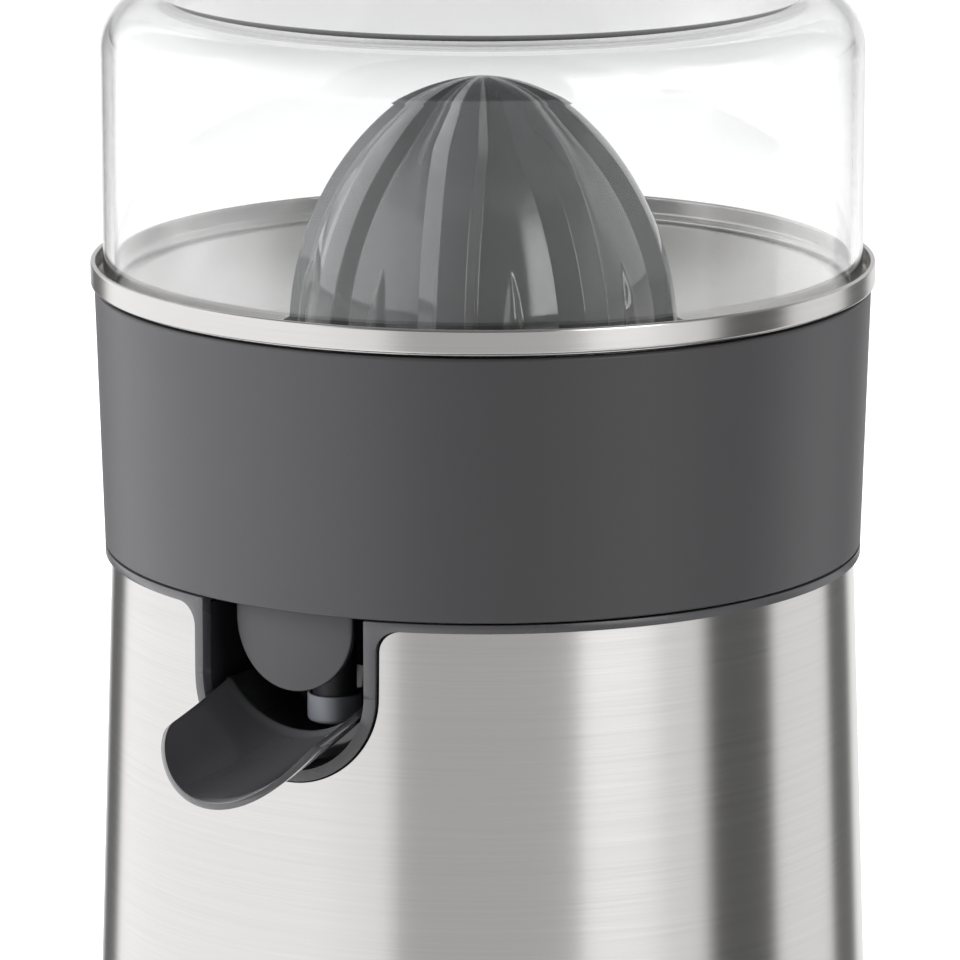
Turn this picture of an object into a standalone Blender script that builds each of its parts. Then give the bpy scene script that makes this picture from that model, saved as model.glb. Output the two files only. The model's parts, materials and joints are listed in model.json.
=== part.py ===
"""Citrus press juicer: a motor base, a lift-off juice collector and pan, a reamer and a clear cover.

Frame: metres, +Z up. The origin lies on the press's turning axis, in the plane of the bottom
cover's underside; the rubber feet stand FOOT_HEIGHT below it. The spout points along -Y.
"""
import math

import bmesh
import bpy
from mathutils import Matrix, Vector

MM = 0.001

# Driving dimensions
GROOVE_Z = 202.5 * MM            # dark groove between the steel pan and the collector's band
FOOT_HEIGHT = 2.5 * MM
GAP = 0.3 * MM                   # clearance left between neighbouring pieces
LIFT_SEGMENTS = 40               # facets of the large turned pieces
SMALL_SEGMENTS = 16              # facets of the small turned pieces

PAN_RADIUS = 80.8 * MM           # outer radius of the steel pan's rim
PAN_RIM_TOP = GROOVE_Z + 5.4 * MM
PAN_LEDGE_TOP = GROOVE_Z + 0.6 * MM
PAN_RIM_WALL = 1.1 * MM
COVER_RADIUS = 78.2 * MM
COVER_WALL = 2.3 * MM
COVER_TOP = GROOVE_Z + 62.0 * MM
COVER_SHOULDER = 12.0 * MM

BAND_TOP_RADIUS = 80.0 * MM      # the collector's outer skirt, seen as a grey band
BAND_FOOT_RADIUS = 78.4 * MM
BAND_FOOT = GROOVE_Z - 53.9 * MM
BAND_FOOT_WALL = 2.4 * MM
BOWL_RADIUS = 71.0 * MM
BOWL_WALL = 2.2 * MM
TONGUE_RADIUS = 13.8 * MM        # half the width of the apron over the outlet
TONGUE_FOOT = GROOVE_Z - 71.5 * MM

COLLAR_RADIUS = 78.4 * MM
COLLAR_TOP = GROOVE_Z - 54.2 * MM
COLLAR_FOOT = GROOVE_Z - 55.9 * MM
FRAME_HALF_WIDTH = 21.4 * MM     # surround of the spout's niche, outer edge
FRAME_WIDTH = 2.3 * MM
FRAME_CORNER = 18.5 * MM
FRAME_FOOT = GROOVE_Z - 88.4 * MM
FRAME_FILLET = 4.6 * MM
FRAME_DEPTH = 2.2 * MM

SHELL_TOP = GROOVE_Z - 56.2 * MM
SHELL_TOP_RADIUS = 77.0 * MM
SHELL_FOOT_RADIUS = 82.2 * MM
SHELL_SHEET = 0.8 * MM
SHELL_FOOT = 0.6 * MM

NOZZLE_Y = -57.0 * MM
NOZZLE_BORE = 3.4 * MM
NOZZLE_FOOT = GROOVE_Z - 80.7 * MM

SPOUT_ROOT = 70.0 * MM           # distance from the axis where the open trough starts
SPOUT_TIP = 103.1 * MM
SPOUT_ROUND = 89.7 * MM          # where the trough's end starts to round in plan
SPOUT_HALF_WIDTH = 16.9 * MM
SPOUT_BORE = 20.2 * MM           # radius of the trough's section
SPOUT_WALL = 1.3 * MM
SPOUT_CENTRE_Z = GROOVE_Z - 60.5 * MM
SPOUT_FALL = 0.29
SPOUT_CURVE = 2.4                # per metre: the fall eases towards the tip
SPOUT_CUP_DROP = 3.9 * MM        # the cup behind the trough is this much deeper
SPOUT_BACK = 47.0 * MM
SPOUT_HINGE_Y = -49.0 * MM
SPOUT_HINGE_Z = GROOVE_Z - 77.0 * MM
SPOUT_STUB = 1.6 * MM

NICHE_HALF_WIDTH = 20.4 * MM
NICHE_BACK = 43.5 * MM
NICHE_FOOT = GROOVE_Z - 88.6 * MM
NICHE_WALL = 1.6 * MM
NICHE_FRONT = 75.7 * MM

REAMER_RIBS = 8
REAMER_PHASE = math.radians(22.1)   # direction of one rib's crown
REAMER_RADIUS = 40.6 * MM        # over the ribs, at the foot
REAMER_FLUTE = 2.7 * MM          # depth of the flutes between the ribs
REAMER_TIP = GROOVE_Z + 45.0 * MM
REAMER_FOOT = GROOVE_Z - 12.4 * MM
RIB_CROWN = 2.9 * MM             # half the width of a rib's crown
RIB_SLOPE = 4.8 * MM             # width of its slope on the clockwise side
RIB_EDGE = 2.4 * MM              # width of its steeper cutting side
SHORT_RIB = 1.6 * MM             # height of the short rib in each flute
SHORT_RIB_HALF = 2.1 * MM
SHORT_RIB_PLACE = 0.42           # of the way from one crown to the next
SHORT_RIB_TOP = GROOVE_Z + 8.3 * MM

SPINDLE_RADIUS = 4.0 * MM
SPINDLE_HEAD = 5.6 * MM          # radius over the corners of the six-sided drive head
TOWER_RADIUS = 9.8 * MM
TOWER_TOP = GROOVE_Z - 22.5 * MM
TOWER_BORE = 6.6 * MM
SEAL_TOP = TOWER_TOP + 2.1 * MM
PRESS_TRAVEL = 1.0 * MM          # the spindle sinks this far under a pressed fruit

GEARBOX_FOOT = 115.0 * MM
GEARBOX_TOP = 141.0 * MM
GEARBOX_WALL = 2.5 * MM
OUTPUT_MODULE, OUTPUT_TEETH, IDLER_PINION_TEETH = 1.0 * MM, 48, 12
MOTOR_MODULE, IDLER_TEETH, MOTOR_TEETH = 0.8 * MM, 40, 10
IDLER_ANGLE = math.radians(45)
MOTOR_ANGLE = math.radians(149.4)   # direction from the idler gear's axis to the motor's
MOTOR_RADIUS = 24.0 * MM
MOTOR_FOOT = 60.0 * MM
MOTOR_TOP = 114.5 * MM

POST_DISTANCE = 62.0 * MM
FOOT_DISTANCE = 66.0 * MM


def clear_scene():
    for item in list(bpy.data.objects):
        bpy.data.objects.remove(item, do_unlink=True)


def finish(name, colour, roughness, metallic=0.0, alpha=1.0):
    material = bpy.data.materials.new(name)
    material.use_nodes = True
    shader = material.node_tree.nodes["Principled BSDF"]
    shader.inputs["Base Color"].default_value = (*colour, 1.0)
    shader.inputs["Roughness"].default_value = roughness
    shader.inputs["Metallic"].default_value = metallic
    shader.inputs["Alpha"].default_value = alpha
    material.diffuse_color = (*colour, alpha)
    return material


FINISHES = {
    "clear": ((0.90, 0.92, 0.92), 0.05, 0.0, 0.3),
    "steel": ((0.62, 0.61, 0.59), 0.32, 1.0),
    "bright_steel": ((0.70, 0.70, 0.70), 0.22, 1.0),
    "grey_plastic": ((0.085, 0.085, 0.088), 0.50),
    "gloss_plastic": ((0.16, 0.16, 0.165), 0.18),
    "dark_plastic": ((0.030, 0.030, 0.033), 0.35),
    "inner_plastic": ((0.28, 0.28, 0.27), 0.55),
    "silicone": ((0.36, 0.38, 0.41), 0.50),
    "rubber": ((0.03, 0.03, 0.03), 0.80),
    "nylon": ((0.70, 0.68, 0.60), 0.45),
    "copper": ((0.60, 0.28, 0.14), 0.35, 1.0),
    "board": ((0.04, 0.16, 0.07), 0.45),
}


def place(name, bm, finish_name, smooth=True):
    """Turns a bmesh into a named object with its own material."""
    bmesh.ops.recalc_face_normals(bm, faces=bm.faces)
    mesh = bpy.data.meshes.new(name)
    bm.to_mesh(mesh)
    bm.free()
    if smooth:
        mesh.shade_smooth()
        mesh.set_sharp_from_angle(angle=math.radians(35))
    item = bpy.data.objects.new(name, mesh)
    item.data.materials.append(finish(name, *FINISHES[finish_name]))
    bpy.context.scene.collection.objects.link(item)
    return item


def arc(centre, radius, start, end, steps):
    """Points on an arc, angles in degrees, both ends included."""
    points = []
    for index in range(steps + 1):
        angle = math.radians(start + (end - start) * index / steps)
        points.append((centre[0] + radius * math.cos(angle), centre[1] + radius * math.sin(angle)))
    return points


def turned_mesh(outline, segments, centre=(0, 0), closed=True):
    """Spins an outline of (radius, height) points about the vertical through centre."""
    bm = bmesh.new()
    verts = [bm.verts.new((radius, 0, height)) for radius, height in outline]
    pairs = list(zip(verts, verts[1:]))
    if closed:
        pairs.append((verts[-1], verts[0]))
    edges = [bm.edges.new(pair) for pair in pairs]
    bmesh.ops.spin(bm, geom=verts + edges, axis=(0, 0, 1), cent=(0, 0, 0), angle=2 * math.pi,
                   steps=segments, use_merge=True)
    bmesh.ops.remove_doubles(bm, verts=bm.verts, dist=1e-6)
    bmesh.ops.translate(bm, verts=bm.verts, vec=(centre[0], centre[1], 0))
    return bm


def turned(name, outline, finish_name, segments=LIFT_SEGMENTS, centre=(0, 0), closed=True):
    return place(name, turned_mesh(outline, segments, centre, closed), finish_name)


def ring(name, inner, outer, low, high, finish_name, segments=SMALL_SEGMENTS, centre=(0, 0)):
    outline = [(outer, low), (outer, high), (inner, high), (inner, low)]
    return turned(name, outline, finish_name, segments, centre)


def disc(name, radius, low, high, finish_name, segments=SMALL_SEGMENTS, centre=(0, 0)):
    outline = [(0, low), (radius, low), (radius, high), (0, high)]
    return turned(name, outline, finish_name, segments, centre, closed=False)


def prism_mesh(outline, low, high, bm=None):
    """Extrudes a flat outline of (x, y) points upwards from low to high."""
    bm = bm or bmesh.new()
    face = bm.faces.new([bm.verts.new((x, y, low)) for x, y in outline])
    top = bmesh.ops.extrude_face_region(bm, geom=[face])["geom"]
    moved = [item for item in top if isinstance(item, bmesh.types.BMVert)]
    bmesh.ops.translate(bm, verts=moved, vec=(0, 0, high - low))
    return bm


def box_mesh(low, high, bm=None):
    outline = [(low[0], low[1]), (high[0], low[1]), (high[0], high[1]), (low[0], high[1])]
    return prism_mesh(outline, low[2], high[2], bm)


def front_prism_mesh(outline, near, far):
    """Extrudes an outline of (x, z) points along -Y, from near to far off the axis."""
    bm = bmesh.new()
    face = bm.faces.new([bm.verts.new((x, -near, z)) for x, z in outline])
    top = bmesh.ops.extrude_face_region(bm, geom=[face])["geom"]
    moved = [item for item in top if isinstance(item, bmesh.types.BMVert)]
    bmesh.ops.translate(bm, verts=moved, vec=(0, near - far, 0))
    return bm


def guide(name, bm):
    """A shape that only serves a Boolean: hidden from renders and left out of the part."""
    bmesh.ops.recalc_face_normals(bm, faces=bm.faces)
    mesh = bpy.data.meshes.new(name)
    bm.to_mesh(mesh)
    bm.free()
    item = bpy.data.objects.new(name, mesh)
    item.hide_render = True
    item.display_type = "WIRE"
    bpy.context.scene.collection.objects.link(item)
    return item


def combine(item, operation, bm):
    other = guide(f"{item.name}_{operation.lower()}_{len(item.modifiers)}", bm)
    modifier = item.modifiers.new(operation.title(), "BOOLEAN")
    modifier.operation = operation
    modifier.solver = "EXACT"
    modifier.object = other
    return item


def cylinder_mesh(radius, low, high, centre=(0, 0), segments=SMALL_SEGMENTS, bm=None):
    outline = [(centre[0] + radius * math.cos(2 * math.pi * i / segments),
                centre[1] + radius * math.sin(2 * math.pi * i / segments)) for i in range(segments)]
    return prism_mesh(outline, low, high, bm)


def cross_cylinder_mesh(radius, centre, start_x, end_x, segments=12):
    """A cylinder along X, for a pivot."""
    bm = cylinder_mesh(radius, start_x, end_x, segments=segments)
    bmesh.ops.rotate(bm, verts=bm.verts, matrix=Matrix.Rotation(math.pi / 2, 3, "Y"))
    bmesh.ops.translate(bm, verts=bm.verts, vec=centre)
    return bm


def around(count, distance, start=0.0):
    """Evenly spaced (x, y) places on a circle, start in degrees."""
    angles = [math.radians(start + 360.0 * index / count) for index in range(count)]
    return [(distance * math.cos(angle), distance * math.sin(angle)) for angle in angles]


def at_groove(*points):
    """Outline points given as (radius, height over the groove), in millimetres."""
    return [(radius * MM, GROOVE_Z + height * MM) for radius, height in points]


# --- Lift-off pieces -----------------------------------------------------------------------

def make_dust_cover():
    shoulder = (COVER_RADIUS - COVER_SHOULDER, COVER_TOP - 1 * MM - COVER_SHOULDER)
    outline = [(0, COVER_TOP)]
    outline += arc(shoulder, COVER_SHOULDER, 90, 0, 5)
    outline += [(COVER_RADIUS, PAN_LEDGE_TOP + GAP), (COVER_RADIUS - COVER_WALL, PAN_LEDGE_TOP + GAP)]
    outline += arc(shoulder, COVER_SHOULDER - COVER_WALL, 0, 90, 5)
    outline += [(0, COVER_TOP - COVER_WALL)]
    return turned("dust_cover", outline, "clear", closed=False)


def reamer_radius(height):
    """Outer radius of the cone over its ribs."""
    share = (height - REAMER_FOOT) / (REAMER_TIP - REAMER_FOOT)
    return REAMER_RADIUS * max(0.0, 1 - share ** 2.1) ** 0.62


def reamer_ring(height):
    """The corners of one level of the cone, as (angle, radius)."""
    crown = reamer_radius(height)
    flute = crown - min(REAMER_FLUTE, crown * 0.13)
    short = flute + (SHORT_RIB if height < SHORT_RIB_TOP - 1 * MM else 0)
    pitch = 2 * math.pi / REAMER_RIBS
    turn = min(1 / crown, 0.9 * pitch / (2 * RIB_CROWN + RIB_SLOPE + RIB_EDGE))
    half = min(SHORT_RIB_HALF / crown, 0.08 * pitch)
    middle = SHORT_RIB_PLACE * pitch
    corners = [(-(RIB_CROWN + RIB_SLOPE) * turn, flute), (-RIB_CROWN * turn, crown),
               (RIB_CROWN * turn, crown), ((RIB_CROWN + RIB_EDGE) * turn, flute)]
    first = max(middle - half, corners[-1][0] + 0.01 * pitch)
    last = min(middle + half, pitch + corners[0][0] - 0.01 * pitch)
    corners += [(first, flute), ((first + last) / 2, short), (last, flute)]
    return [(REAMER_PHASE + pitch * rib + angle, radius)
            for rib in range(REAMER_RIBS) for angle, radius in corners]


def make_reamer():
    """A domed cone with flat-topped ribs; below it is hollow, with a six-sided drive socket."""
    heights = [REAMER_TIP - drop * MM for drop in (1.5, 5, 11, 19, 28, 36.5, 38.5, 48)] + [REAMER_FOOT]
    rings = [[(angle, radius, height) for angle, radius in reamer_ring(height)] for height in heights]
    foot = [angle for angle, radius in reamer_ring(REAMER_FOOT)]
    socket = SPINDLE_HEAD / MM + 0.6
    hollow = [(35.4, -12.4), (31.0, 6.0), (22.0, 20.0), (9.6, 20.0), (9.6, -13.0), (socket, -13.0),
              (socket, 9.0)]
    rings += [[(angle, radius, height) for angle in foot] for radius, height in at_groove(*hollow)]
    bm = bmesh.new()
    loops = [[bm.verts.new((radius * math.cos(angle), radius * math.sin(angle), height))
              for angle, radius, height in entry] for entry in rings]
    for upper, lower in zip(loops, loops[1:]):
        for i in range(len(foot)):
            j = (i + 1) % len(foot)
            bm.faces.new((upper[i], upper[j], lower[j], lower[i]))
    for loop, height in ((loops[0], REAMER_TIP), (loops[-1], rings[-1][0][2])):
        pole = bm.verts.new((0, 0, height))
        for i in range(len(foot)):
            bm.faces.new((pole, loop[i], loop[(i + 1) % len(foot)]))
    return place("reamer", bm, "gloss_plastic")


def make_thrust_washer():
    return ring("thrust_washer", SPINDLE_HEAD + 0.7 * MM, 9.4 * MM, GROOVE_Z - 15.4 * MM,
                GROOVE_Z - 13.4 * MM, "nylon", 24)


def make_strainer():
    """A slotted insert under the reamer; its flange rests on the pan's inner ledge."""
    outline = at_groove((43.0, -13.1), (43.0, -11.9), (41.8, -11.9), (40.0, -15.2), (12.4, -17.3),
                        (10.4, -17.3), (10.4, -18.9), (12.0, -18.9), (39.6, -17.0), (40.1, -13.1))
    item = turned("strainer", outline, "gloss_plastic", 36)
    slots = bmesh.new()
    for index in range(18):
        turn = Matrix.Rotation(2 * math.pi * (index + 0.5) / 18, 4, "Z")
        before = set(slots.verts)
        box_mesh((17 * MM, -0.8 * MM, GROOVE_Z - 22 * MM), (36 * MM, 0.8 * MM, GROOVE_Z - 12 * MM), slots)
        bmesh.ops.transform(slots, matrix=turn, verts=[v for v in slots.verts if v not in before])
    return combine(item, "DIFFERENCE", slots)


def make_steel_pan():
    """A dished pan with a rolled rim, a ledge for the cover and an inner ledge for the strainer."""
    inner, lip, rounding = PAN_RADIUS - PAN_RIM_WALL, PAN_RIM_TOP - 0.4 * MM, 0.3 * MM
    rim = [(PAN_RADIUS, PAN_LEDGE_TOP - 0.1 * MM), (PAN_RADIUS, lip), (PAN_RADIUS - rounding, PAN_RIM_TOP),
           (inner + rounding, PAN_RIM_TOP), (inner, lip)]
    dish = at_groove((79.7, 1.9), (78.5, 0.6), (73.0, 0.5), (60.0, -5.2), (48.0, -9.4), (44.0, -10.4),
                     (43.4, -13.4), (40.5, -13.5), (40.5, -14.4), (44.3, -14.3), (44.9, -11.4),
                     (48.3, -10.4), (60.3, -6.2), (70.4, -1.6), (70.4, -0.9), (77.7, -0.9),
                     (77.7, -0.2), (79.2, -0.2), (79.4, 0.5))
    return turned("steel_pan", rim + dish, "steel")


def make_juice_collector():
    """Skirt and bowl in one moulding, with a chimney, an outlet tube and an apron before it."""
    outline = [(BAND_TOP_RADIUS, GROOVE_Z - 1.1 * MM)]
    outline += at_groove((79.4, -0.5), (78.1, -0.5), (78.1, -1.2), (71.2, -1.2), (71.0, -29.0),
                         (68.0, -33.4), (58.0, -33.8), (16.0, -30.0), (13.2, -27.0), (12.7, -20.2),
                         (10.7, -20.2), (10.7, -32.2), (16.0, -32.4), (58.0, -36.2), (69.5, -35.8),
                         (73.2, -31.0), (73.2, -3.6), (77.3, -3.6))
    outline += [(BAND_FOOT_RADIUS - BAND_FOOT_WALL, BAND_FOOT), (BAND_FOOT_RADIUS, BAND_FOOT)]
    item = turned("juice_collector", outline, "grey_plastic")
    inner, outer = BOWL_RADIUS + 0.15 * MM, BOWL_RADIUS + BOWL_WALL - 0.15 * MM
    low, high = TONGUE_FOOT - 5 * MM, GROOVE_Z - 29.7 * MM
    strip = [(inner, low), (outer, low), (outer, high), (inner, high)]
    apron = guide("apron_shell", turned_mesh(strip, LIFT_SEGMENTS))
    centre = (0, TONGUE_FOOT + TONGUE_RADIUS)
    shape = [(TONGUE_RADIUS, GROOVE_Z - 30.3 * MM), (-TONGUE_RADIUS, GROOVE_Z - 30.3 * MM)]
    shape += arc(centre, TONGUE_RADIUS, 180, 360, 14)
    combine(apron, "INTERSECT", front_prism_mesh(shape, 60 * MM, 90 * MM))
    join = item.modifiers.new("Apron", "BOOLEAN")
    join.operation = "UNION"
    join.solver = "EXACT"
    join.object = apron
    tube = cylinder_mesh(NOZZLE_BORE + 1.1 * MM, NOZZLE_FOOT + 2.2 * MM, GROOVE_Z - 34.5 * MM,
                         (0, NOZZLE_Y))
    combine(item, "UNION", tube)
    bore = cylinder_mesh(NOZZLE_BORE, NOZZLE_FOOT, GROOVE_Z - 30 * MM, (0, NOZZLE_Y))
    return combine(item, "DIFFERENCE", bore)


def make_nozzle_tip():
    outer, foot, top = 5.5 * MM, NOZZLE_FOOT, NOZZLE_FOOT + 5.7 * MM
    sleeve, stop = NOZZLE_BORE + 1.4 * MM, foot + 1.9 * MM
    outline = [(NOZZLE_BORE, foot), (outer - 0.8 * MM, foot), (outer, foot + 1.2 * MM), (outer, top),
               (sleeve, top), (sleeve, stop), (NOZZLE_BORE, stop)]
    return turned("nozzle_tip", outline, "silicone", SMALL_SEGMENTS, (0, NOZZLE_Y))


# --- Spout and its niche -------------------------------------------------------------------

def spout_section(reach, half_width, drop, filled):
    """One section of the trough at a distance from the axis, as a loop of points."""
    run = max(reach, SPOUT_ROOT) - SPOUT_ROOT
    centre_z = SPOUT_CENTRE_Z - SPOUT_FALL * run + SPOUT_CURVE * run ** 2 - drop
    rim_z = centre_z + drop - math.sqrt(SPOUT_BORE ** 2 - SPOUT_HALF_WIDTH ** 2)
    steps = 10
    loop = []
    for index in range(steps + 1):
        x = half_width * math.sin(math.pi * (index / steps - 0.5))
        floor = centre_z - math.sqrt(SPOUT_BORE ** 2 - x ** 2)
        if filled:
            floor = rim_z
        elif drop:
            floor = max(floor, centre_z - SPOUT_BORE) if index not in (0, steps) else rim_z
        loop.append((x, floor))
    outer = half_width + SPOUT_WALL
    for index in range(steps, -1, -1):
        x = outer * math.sin(math.pi * (index / steps - 0.5))
        under = centre_z - math.sqrt((SPOUT_BORE + SPOUT_WALL) ** 2 - x ** 2)
        if index in (0, steps):
            under = loop[0][1] if half_width < SPOUT_HALF_WIDTH * 0.999 else rim_z
        loop.append((x, under))
    return [Vector((x, -reach, z)) for x, z in loop]


def make_spout():
    """An open trough with a rounded lip, a deeper cup behind it and two pivot stubs."""
    step = 0.05 * MM
    front_wall = SPOUT_ROOT - 1.2 * MM
    stations = [(SPOUT_BACK, SPOUT_HALF_WIDTH, SPOUT_CUP_DROP, True),
                (SPOUT_BACK + 1.5 * MM, SPOUT_HALF_WIDTH, SPOUT_CUP_DROP, True),
                (SPOUT_BACK + 1.5 * MM + step, SPOUT_HALF_WIDTH, SPOUT_CUP_DROP, False),
                (front_wall, SPOUT_HALF_WIDTH, SPOUT_CUP_DROP, False),
                (front_wall + step, SPOUT_HALF_WIDTH, 0, False)]
    for index in range(1, 5):
        reach = SPOUT_ROOT + (SPOUT_ROUND - SPOUT_ROOT) * index / 4
        stations.append((reach, SPOUT_HALF_WIDTH, 0, False))
    for angle in (20, 38, 54, 67, 77, 85):
        turn = math.radians(angle)
        stations.append((SPOUT_ROUND + (SPOUT_TIP - SPOUT_ROUND) * math.sin(turn),
                         SPOUT_HALF_WIDTH * math.cos(turn), 0, False))
    bm = bmesh.new()
    loops = [[bm.verts.new(point) for point in spout_section(*station)] for station in stations]
    for near, far in zip(loops, loops[1:]):
        for i in range(len(near)):
            j = (i + 1) % len(near)
            bm.faces.new((near[i], near[j], far[j], far[i]))
    bm.faces.new(loops[0])
    bm.faces.new(list(reversed(loops[-1])))
    item = place("spout", bm, "dark_plastic")
    for side in (-1, 1):
        ends = sorted((side * (SPOUT_HALF_WIDTH - 1.2 * MM), side * (NICHE_HALF_WIDTH + 1.2 * MM)))
        stub = cross_cylinder_mesh(SPOUT_STUB, (0, SPOUT_HINGE_Y, SPOUT_HINGE_Z), *ends)
        combine(item, "UNION", stub)
    return item


def frame_outline(half_width, corner, foot, top):
    """A U with rounded lower corners, in (x, z)."""
    flat = half_width - corner
    points = [(-half_width, top)]
    points += arc((-flat, foot + corner), corner, 180, 270, 8)
    points += arc((flat, foot + corner), corner, 270, 360, 8)
    return points + [(half_width, top)]


def make_base_collar():
    """The base's top ring, running into the surround of the spout's niche."""
    lip = 8.4 * MM
    outline = [(COLLAR_RADIUS, COLLAR_FOOT), (COLLAR_RADIUS, COLLAR_TOP), (COLLAR_RADIUS - lip, COLLAR_TOP),
               (COLLAR_RADIUS - lip, COLLAR_FOOT)]
    item = turned("base_collar", outline, "dark_plastic")
    centre_x = FRAME_HALF_WIDTH + FRAME_FILLET
    centre_z = COLLAR_FOOT - FRAME_FILLET
    shape = frame_outline(FRAME_HALF_WIDTH, FRAME_CORNER, FRAME_FOOT, centre_z)[1:-1]
    shape += [(x, z) for x, z in arc((centre_x, centre_z), FRAME_FILLET, 180, 90, 4)]
    shape += [(centre_x, COLLAR_TOP), (-centre_x, COLLAR_TOP)]
    shape += [(-x, z) for x, z in arc((centre_x, centre_z), FRAME_FILLET, 90, 180, 4)]
    back, low = COLLAR_RADIUS - FRAME_DEPTH, FRAME_FOOT - 5 * MM
    strip = [(back, low), (COLLAR_RADIUS, low), (COLLAR_RADIUS, COLLAR_TOP), (back, COLLAR_TOP)]
    surround = guide("surround_shell", turned_mesh(strip, LIFT_SEGMENTS))
    combine(surround, "INTERSECT", front_prism_mesh(shape, 60 * MM, 90 * MM))
    join = item.modifiers.new("Surround", "BOOLEAN")
    join.operation = "UNION"
    join.solver = "EXACT"
    join.object = surround
    inner = frame_outline(FRAME_HALF_WIDTH - FRAME_WIDTH, FRAME_CORNER - FRAME_WIDTH,
                          FRAME_FOOT + FRAME_WIDTH, COLLAR_TOP + 5 * MM)
    return combine(item, "DIFFERENCE", front_prism_mesh(inner, 60 * MM, 95 * MM))


def make_spout_niche():
    """The box-shaped liner behind the surround, open to the front and to the top."""
    wall, half = NICHE_WALL, NICHE_HALF_WIDTH
    top = COLLAR_FOOT - GAP
    bm = box_mesh((-half - wall, -90 * MM, NICHE_FOOT - wall), (half + wall, -NICHE_BACK + wall, top))
    item = place("spout_niche", bm, "dark_plastic", smooth=False)
    inside = box_mesh((-half, -95 * MM, NICHE_FOOT), (half, -NICHE_BACK, top + 5 * MM))
    combine(item, "DIFFERENCE", inside)
    combine(item, "INTERSECT", cylinder_mesh(NICHE_FRONT, 50 * MM, 200 * MM, segments=LIFT_SEGMENTS))
    holes = cross_cylinder_mesh(SPOUT_STUB + GAP, (0, SPOUT_HINGE_Y, SPOUT_HINGE_Z), -30 * MM, 30 * MM)
    return combine(item, "DIFFERENCE", holes)


# --- Base ----------------------------------------------------------------------------------

def make_motor_deck():
    """The base's wet-side top: a low cone with a bearing tower and four screw posts."""
    outline = at_groove((69.6, -56.2), (69.6, -54.2), (66.0, -50.4), (32.0, -46.0), (14.0, -44.4),
                        (9.8, -41.0), (9.8, -22.5), (6.6, -22.5), (6.6, -47.2), (14.0, -47.2),
                        (32.0, -48.6), (65.0, -53.0), (67.0, -56.2))
    item = turned("motor_deck", outline, "inner_plastic")
    posts = bmesh.new()
    pilots = bmesh.new()
    for place_xy in around(4, POST_DISTANCE, 45):
        cylinder_mesh(4 * MM, 3.3 * MM, GROOVE_Z - 51.5 * MM, place_xy, 12, posts)
        cylinder_mesh(1.8 * MM, 2 * MM, 16 * MM, place_xy, 8, pilots)
    combine(item, "UNION", posts)
    combine(item, "DIFFERENCE", pilots)
    half = NICHE_HALF_WIDTH + NICHE_WALL + GAP
    back = NICHE_BACK - NICHE_WALL - GAP
    notch = box_mesh((-half, -90 * MM, GROOVE_Z - 60 * MM), (half, -back, GROOVE_Z - 40 * MM))
    return combine(item, "DIFFERENCE", notch)


def make_base_shell():
    sheet = SHELL_SHEET
    outline = [(SHELL_FOOT_RADIUS, SHELL_FOOT), (SHELL_TOP_RADIUS, SHELL_TOP),
               (SHELL_TOP_RADIUS - sheet, SHELL_TOP), (SHELL_FOOT_RADIUS - sheet, SHELL_FOOT)]
    item = turned("base_shell", outline, "steel")
    half = FRAME_HALF_WIDTH + GAP
    shape = frame_outline(half, FRAME_CORNER + GAP, FRAME_FOOT - GAP, COLLAR_FOOT - FRAME_FILLET)[1:-1]
    centre = (FRAME_HALF_WIDTH + FRAME_FILLET, COLLAR_FOOT - FRAME_FILLET)
    shape += arc(centre, FRAME_FILLET - GAP, 180, 90, 4)
    shape += [(centre[0], SHELL_TOP + 5 * MM), (-centre[0], SHELL_TOP + 5 * MM)]
    shape += [(-x, z) for x, z in arc(centre, FRAME_FILLET - GAP, 90, 180, 4)]
    combine(item, "DIFFERENCE", front_prism_mesh(shape, 60 * MM, 95 * MM))
    hole = cylinder_mesh(7.3 * MM, 70 * MM, 90 * MM, segments=SMALL_SEGMENTS)
    bmesh.ops.rotate(hole, verts=hole.verts, matrix=Matrix.Rotation(-math.pi / 2, 3, "X"))
    bmesh.ops.translate(hole, verts=hole.verts, vec=(0, 0, 15 * MM))
    return combine(item, "DIFFERENCE", hole)


def make_cord_inlet():
    """A grommet through the shell's back, with a blind bore where a cord would enter."""
    outline = [(0, 76.0), (6.9, 76.0), (6.9, 82.8), (9.0, 82.8), (9.0, 84.2), (8.0, 85.4), (3.6, 85.4),
               (3.6, 79.0), (0, 79.0)]
    points = [(radius * MM, height * MM) for radius, height in outline]
    bm = turned_mesh(points, SMALL_SEGMENTS, closed=False)
    bmesh.ops.rotate(bm, verts=bm.verts, matrix=Matrix.Rotation(-math.pi / 2, 3, "X"))
    bmesh.ops.translate(bm, verts=bm.verts, vec=(0, 0, 15 * MM))
    return place("cord_inlet", bm, "rubber")


def make_bottom_cover():
    item = turned("bottom_cover", [(0, 0), (80.9 * MM, 0), (80.9 * MM, 3 * MM), (0, 3 * MM)],
                  "inner_plastic", closed=False)
    vents = bmesh.new()
    for index in range(7):
        x = (index - 3) * 7 * MM
        box_mesh((x - 1.2 * MM, 26 * MM, -1 * MM), (x + 1.2 * MM, 50 * MM, 4 * MM), vents)
    combine(item, "DIFFERENCE", vents)
    holes = bmesh.new()
    for place_xy in around(4, POST_DISTANCE, 45):
        cylinder_mesh(2.1 * MM, -1 * MM, 4 * MM, place_xy, 8, holes)
    combine(item, "DIFFERENCE", holes)
    wells = bmesh.new()
    for place_xy in around(4, POST_DISTANCE, 45):
        cylinder_mesh(4.2 * MM, -1 * MM, 1.7 * MM, place_xy, 12, wells)
    return combine(item, "DIFFERENCE", wells)


def make_feet():
    for index, centre in enumerate(around(4, FOOT_DISTANCE, 0)):
        outline = [(0, -FOOT_HEIGHT), (7.2 * MM, -FOOT_HEIGHT), (8 * MM, -FOOT_HEIGHT + 0.8 * MM),
                   (8 * MM, -GAP), (0, -GAP)]
        turned(f"foot_{index + 1}", outline, "rubber", SMALL_SEGMENTS, centre, closed=False)


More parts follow.
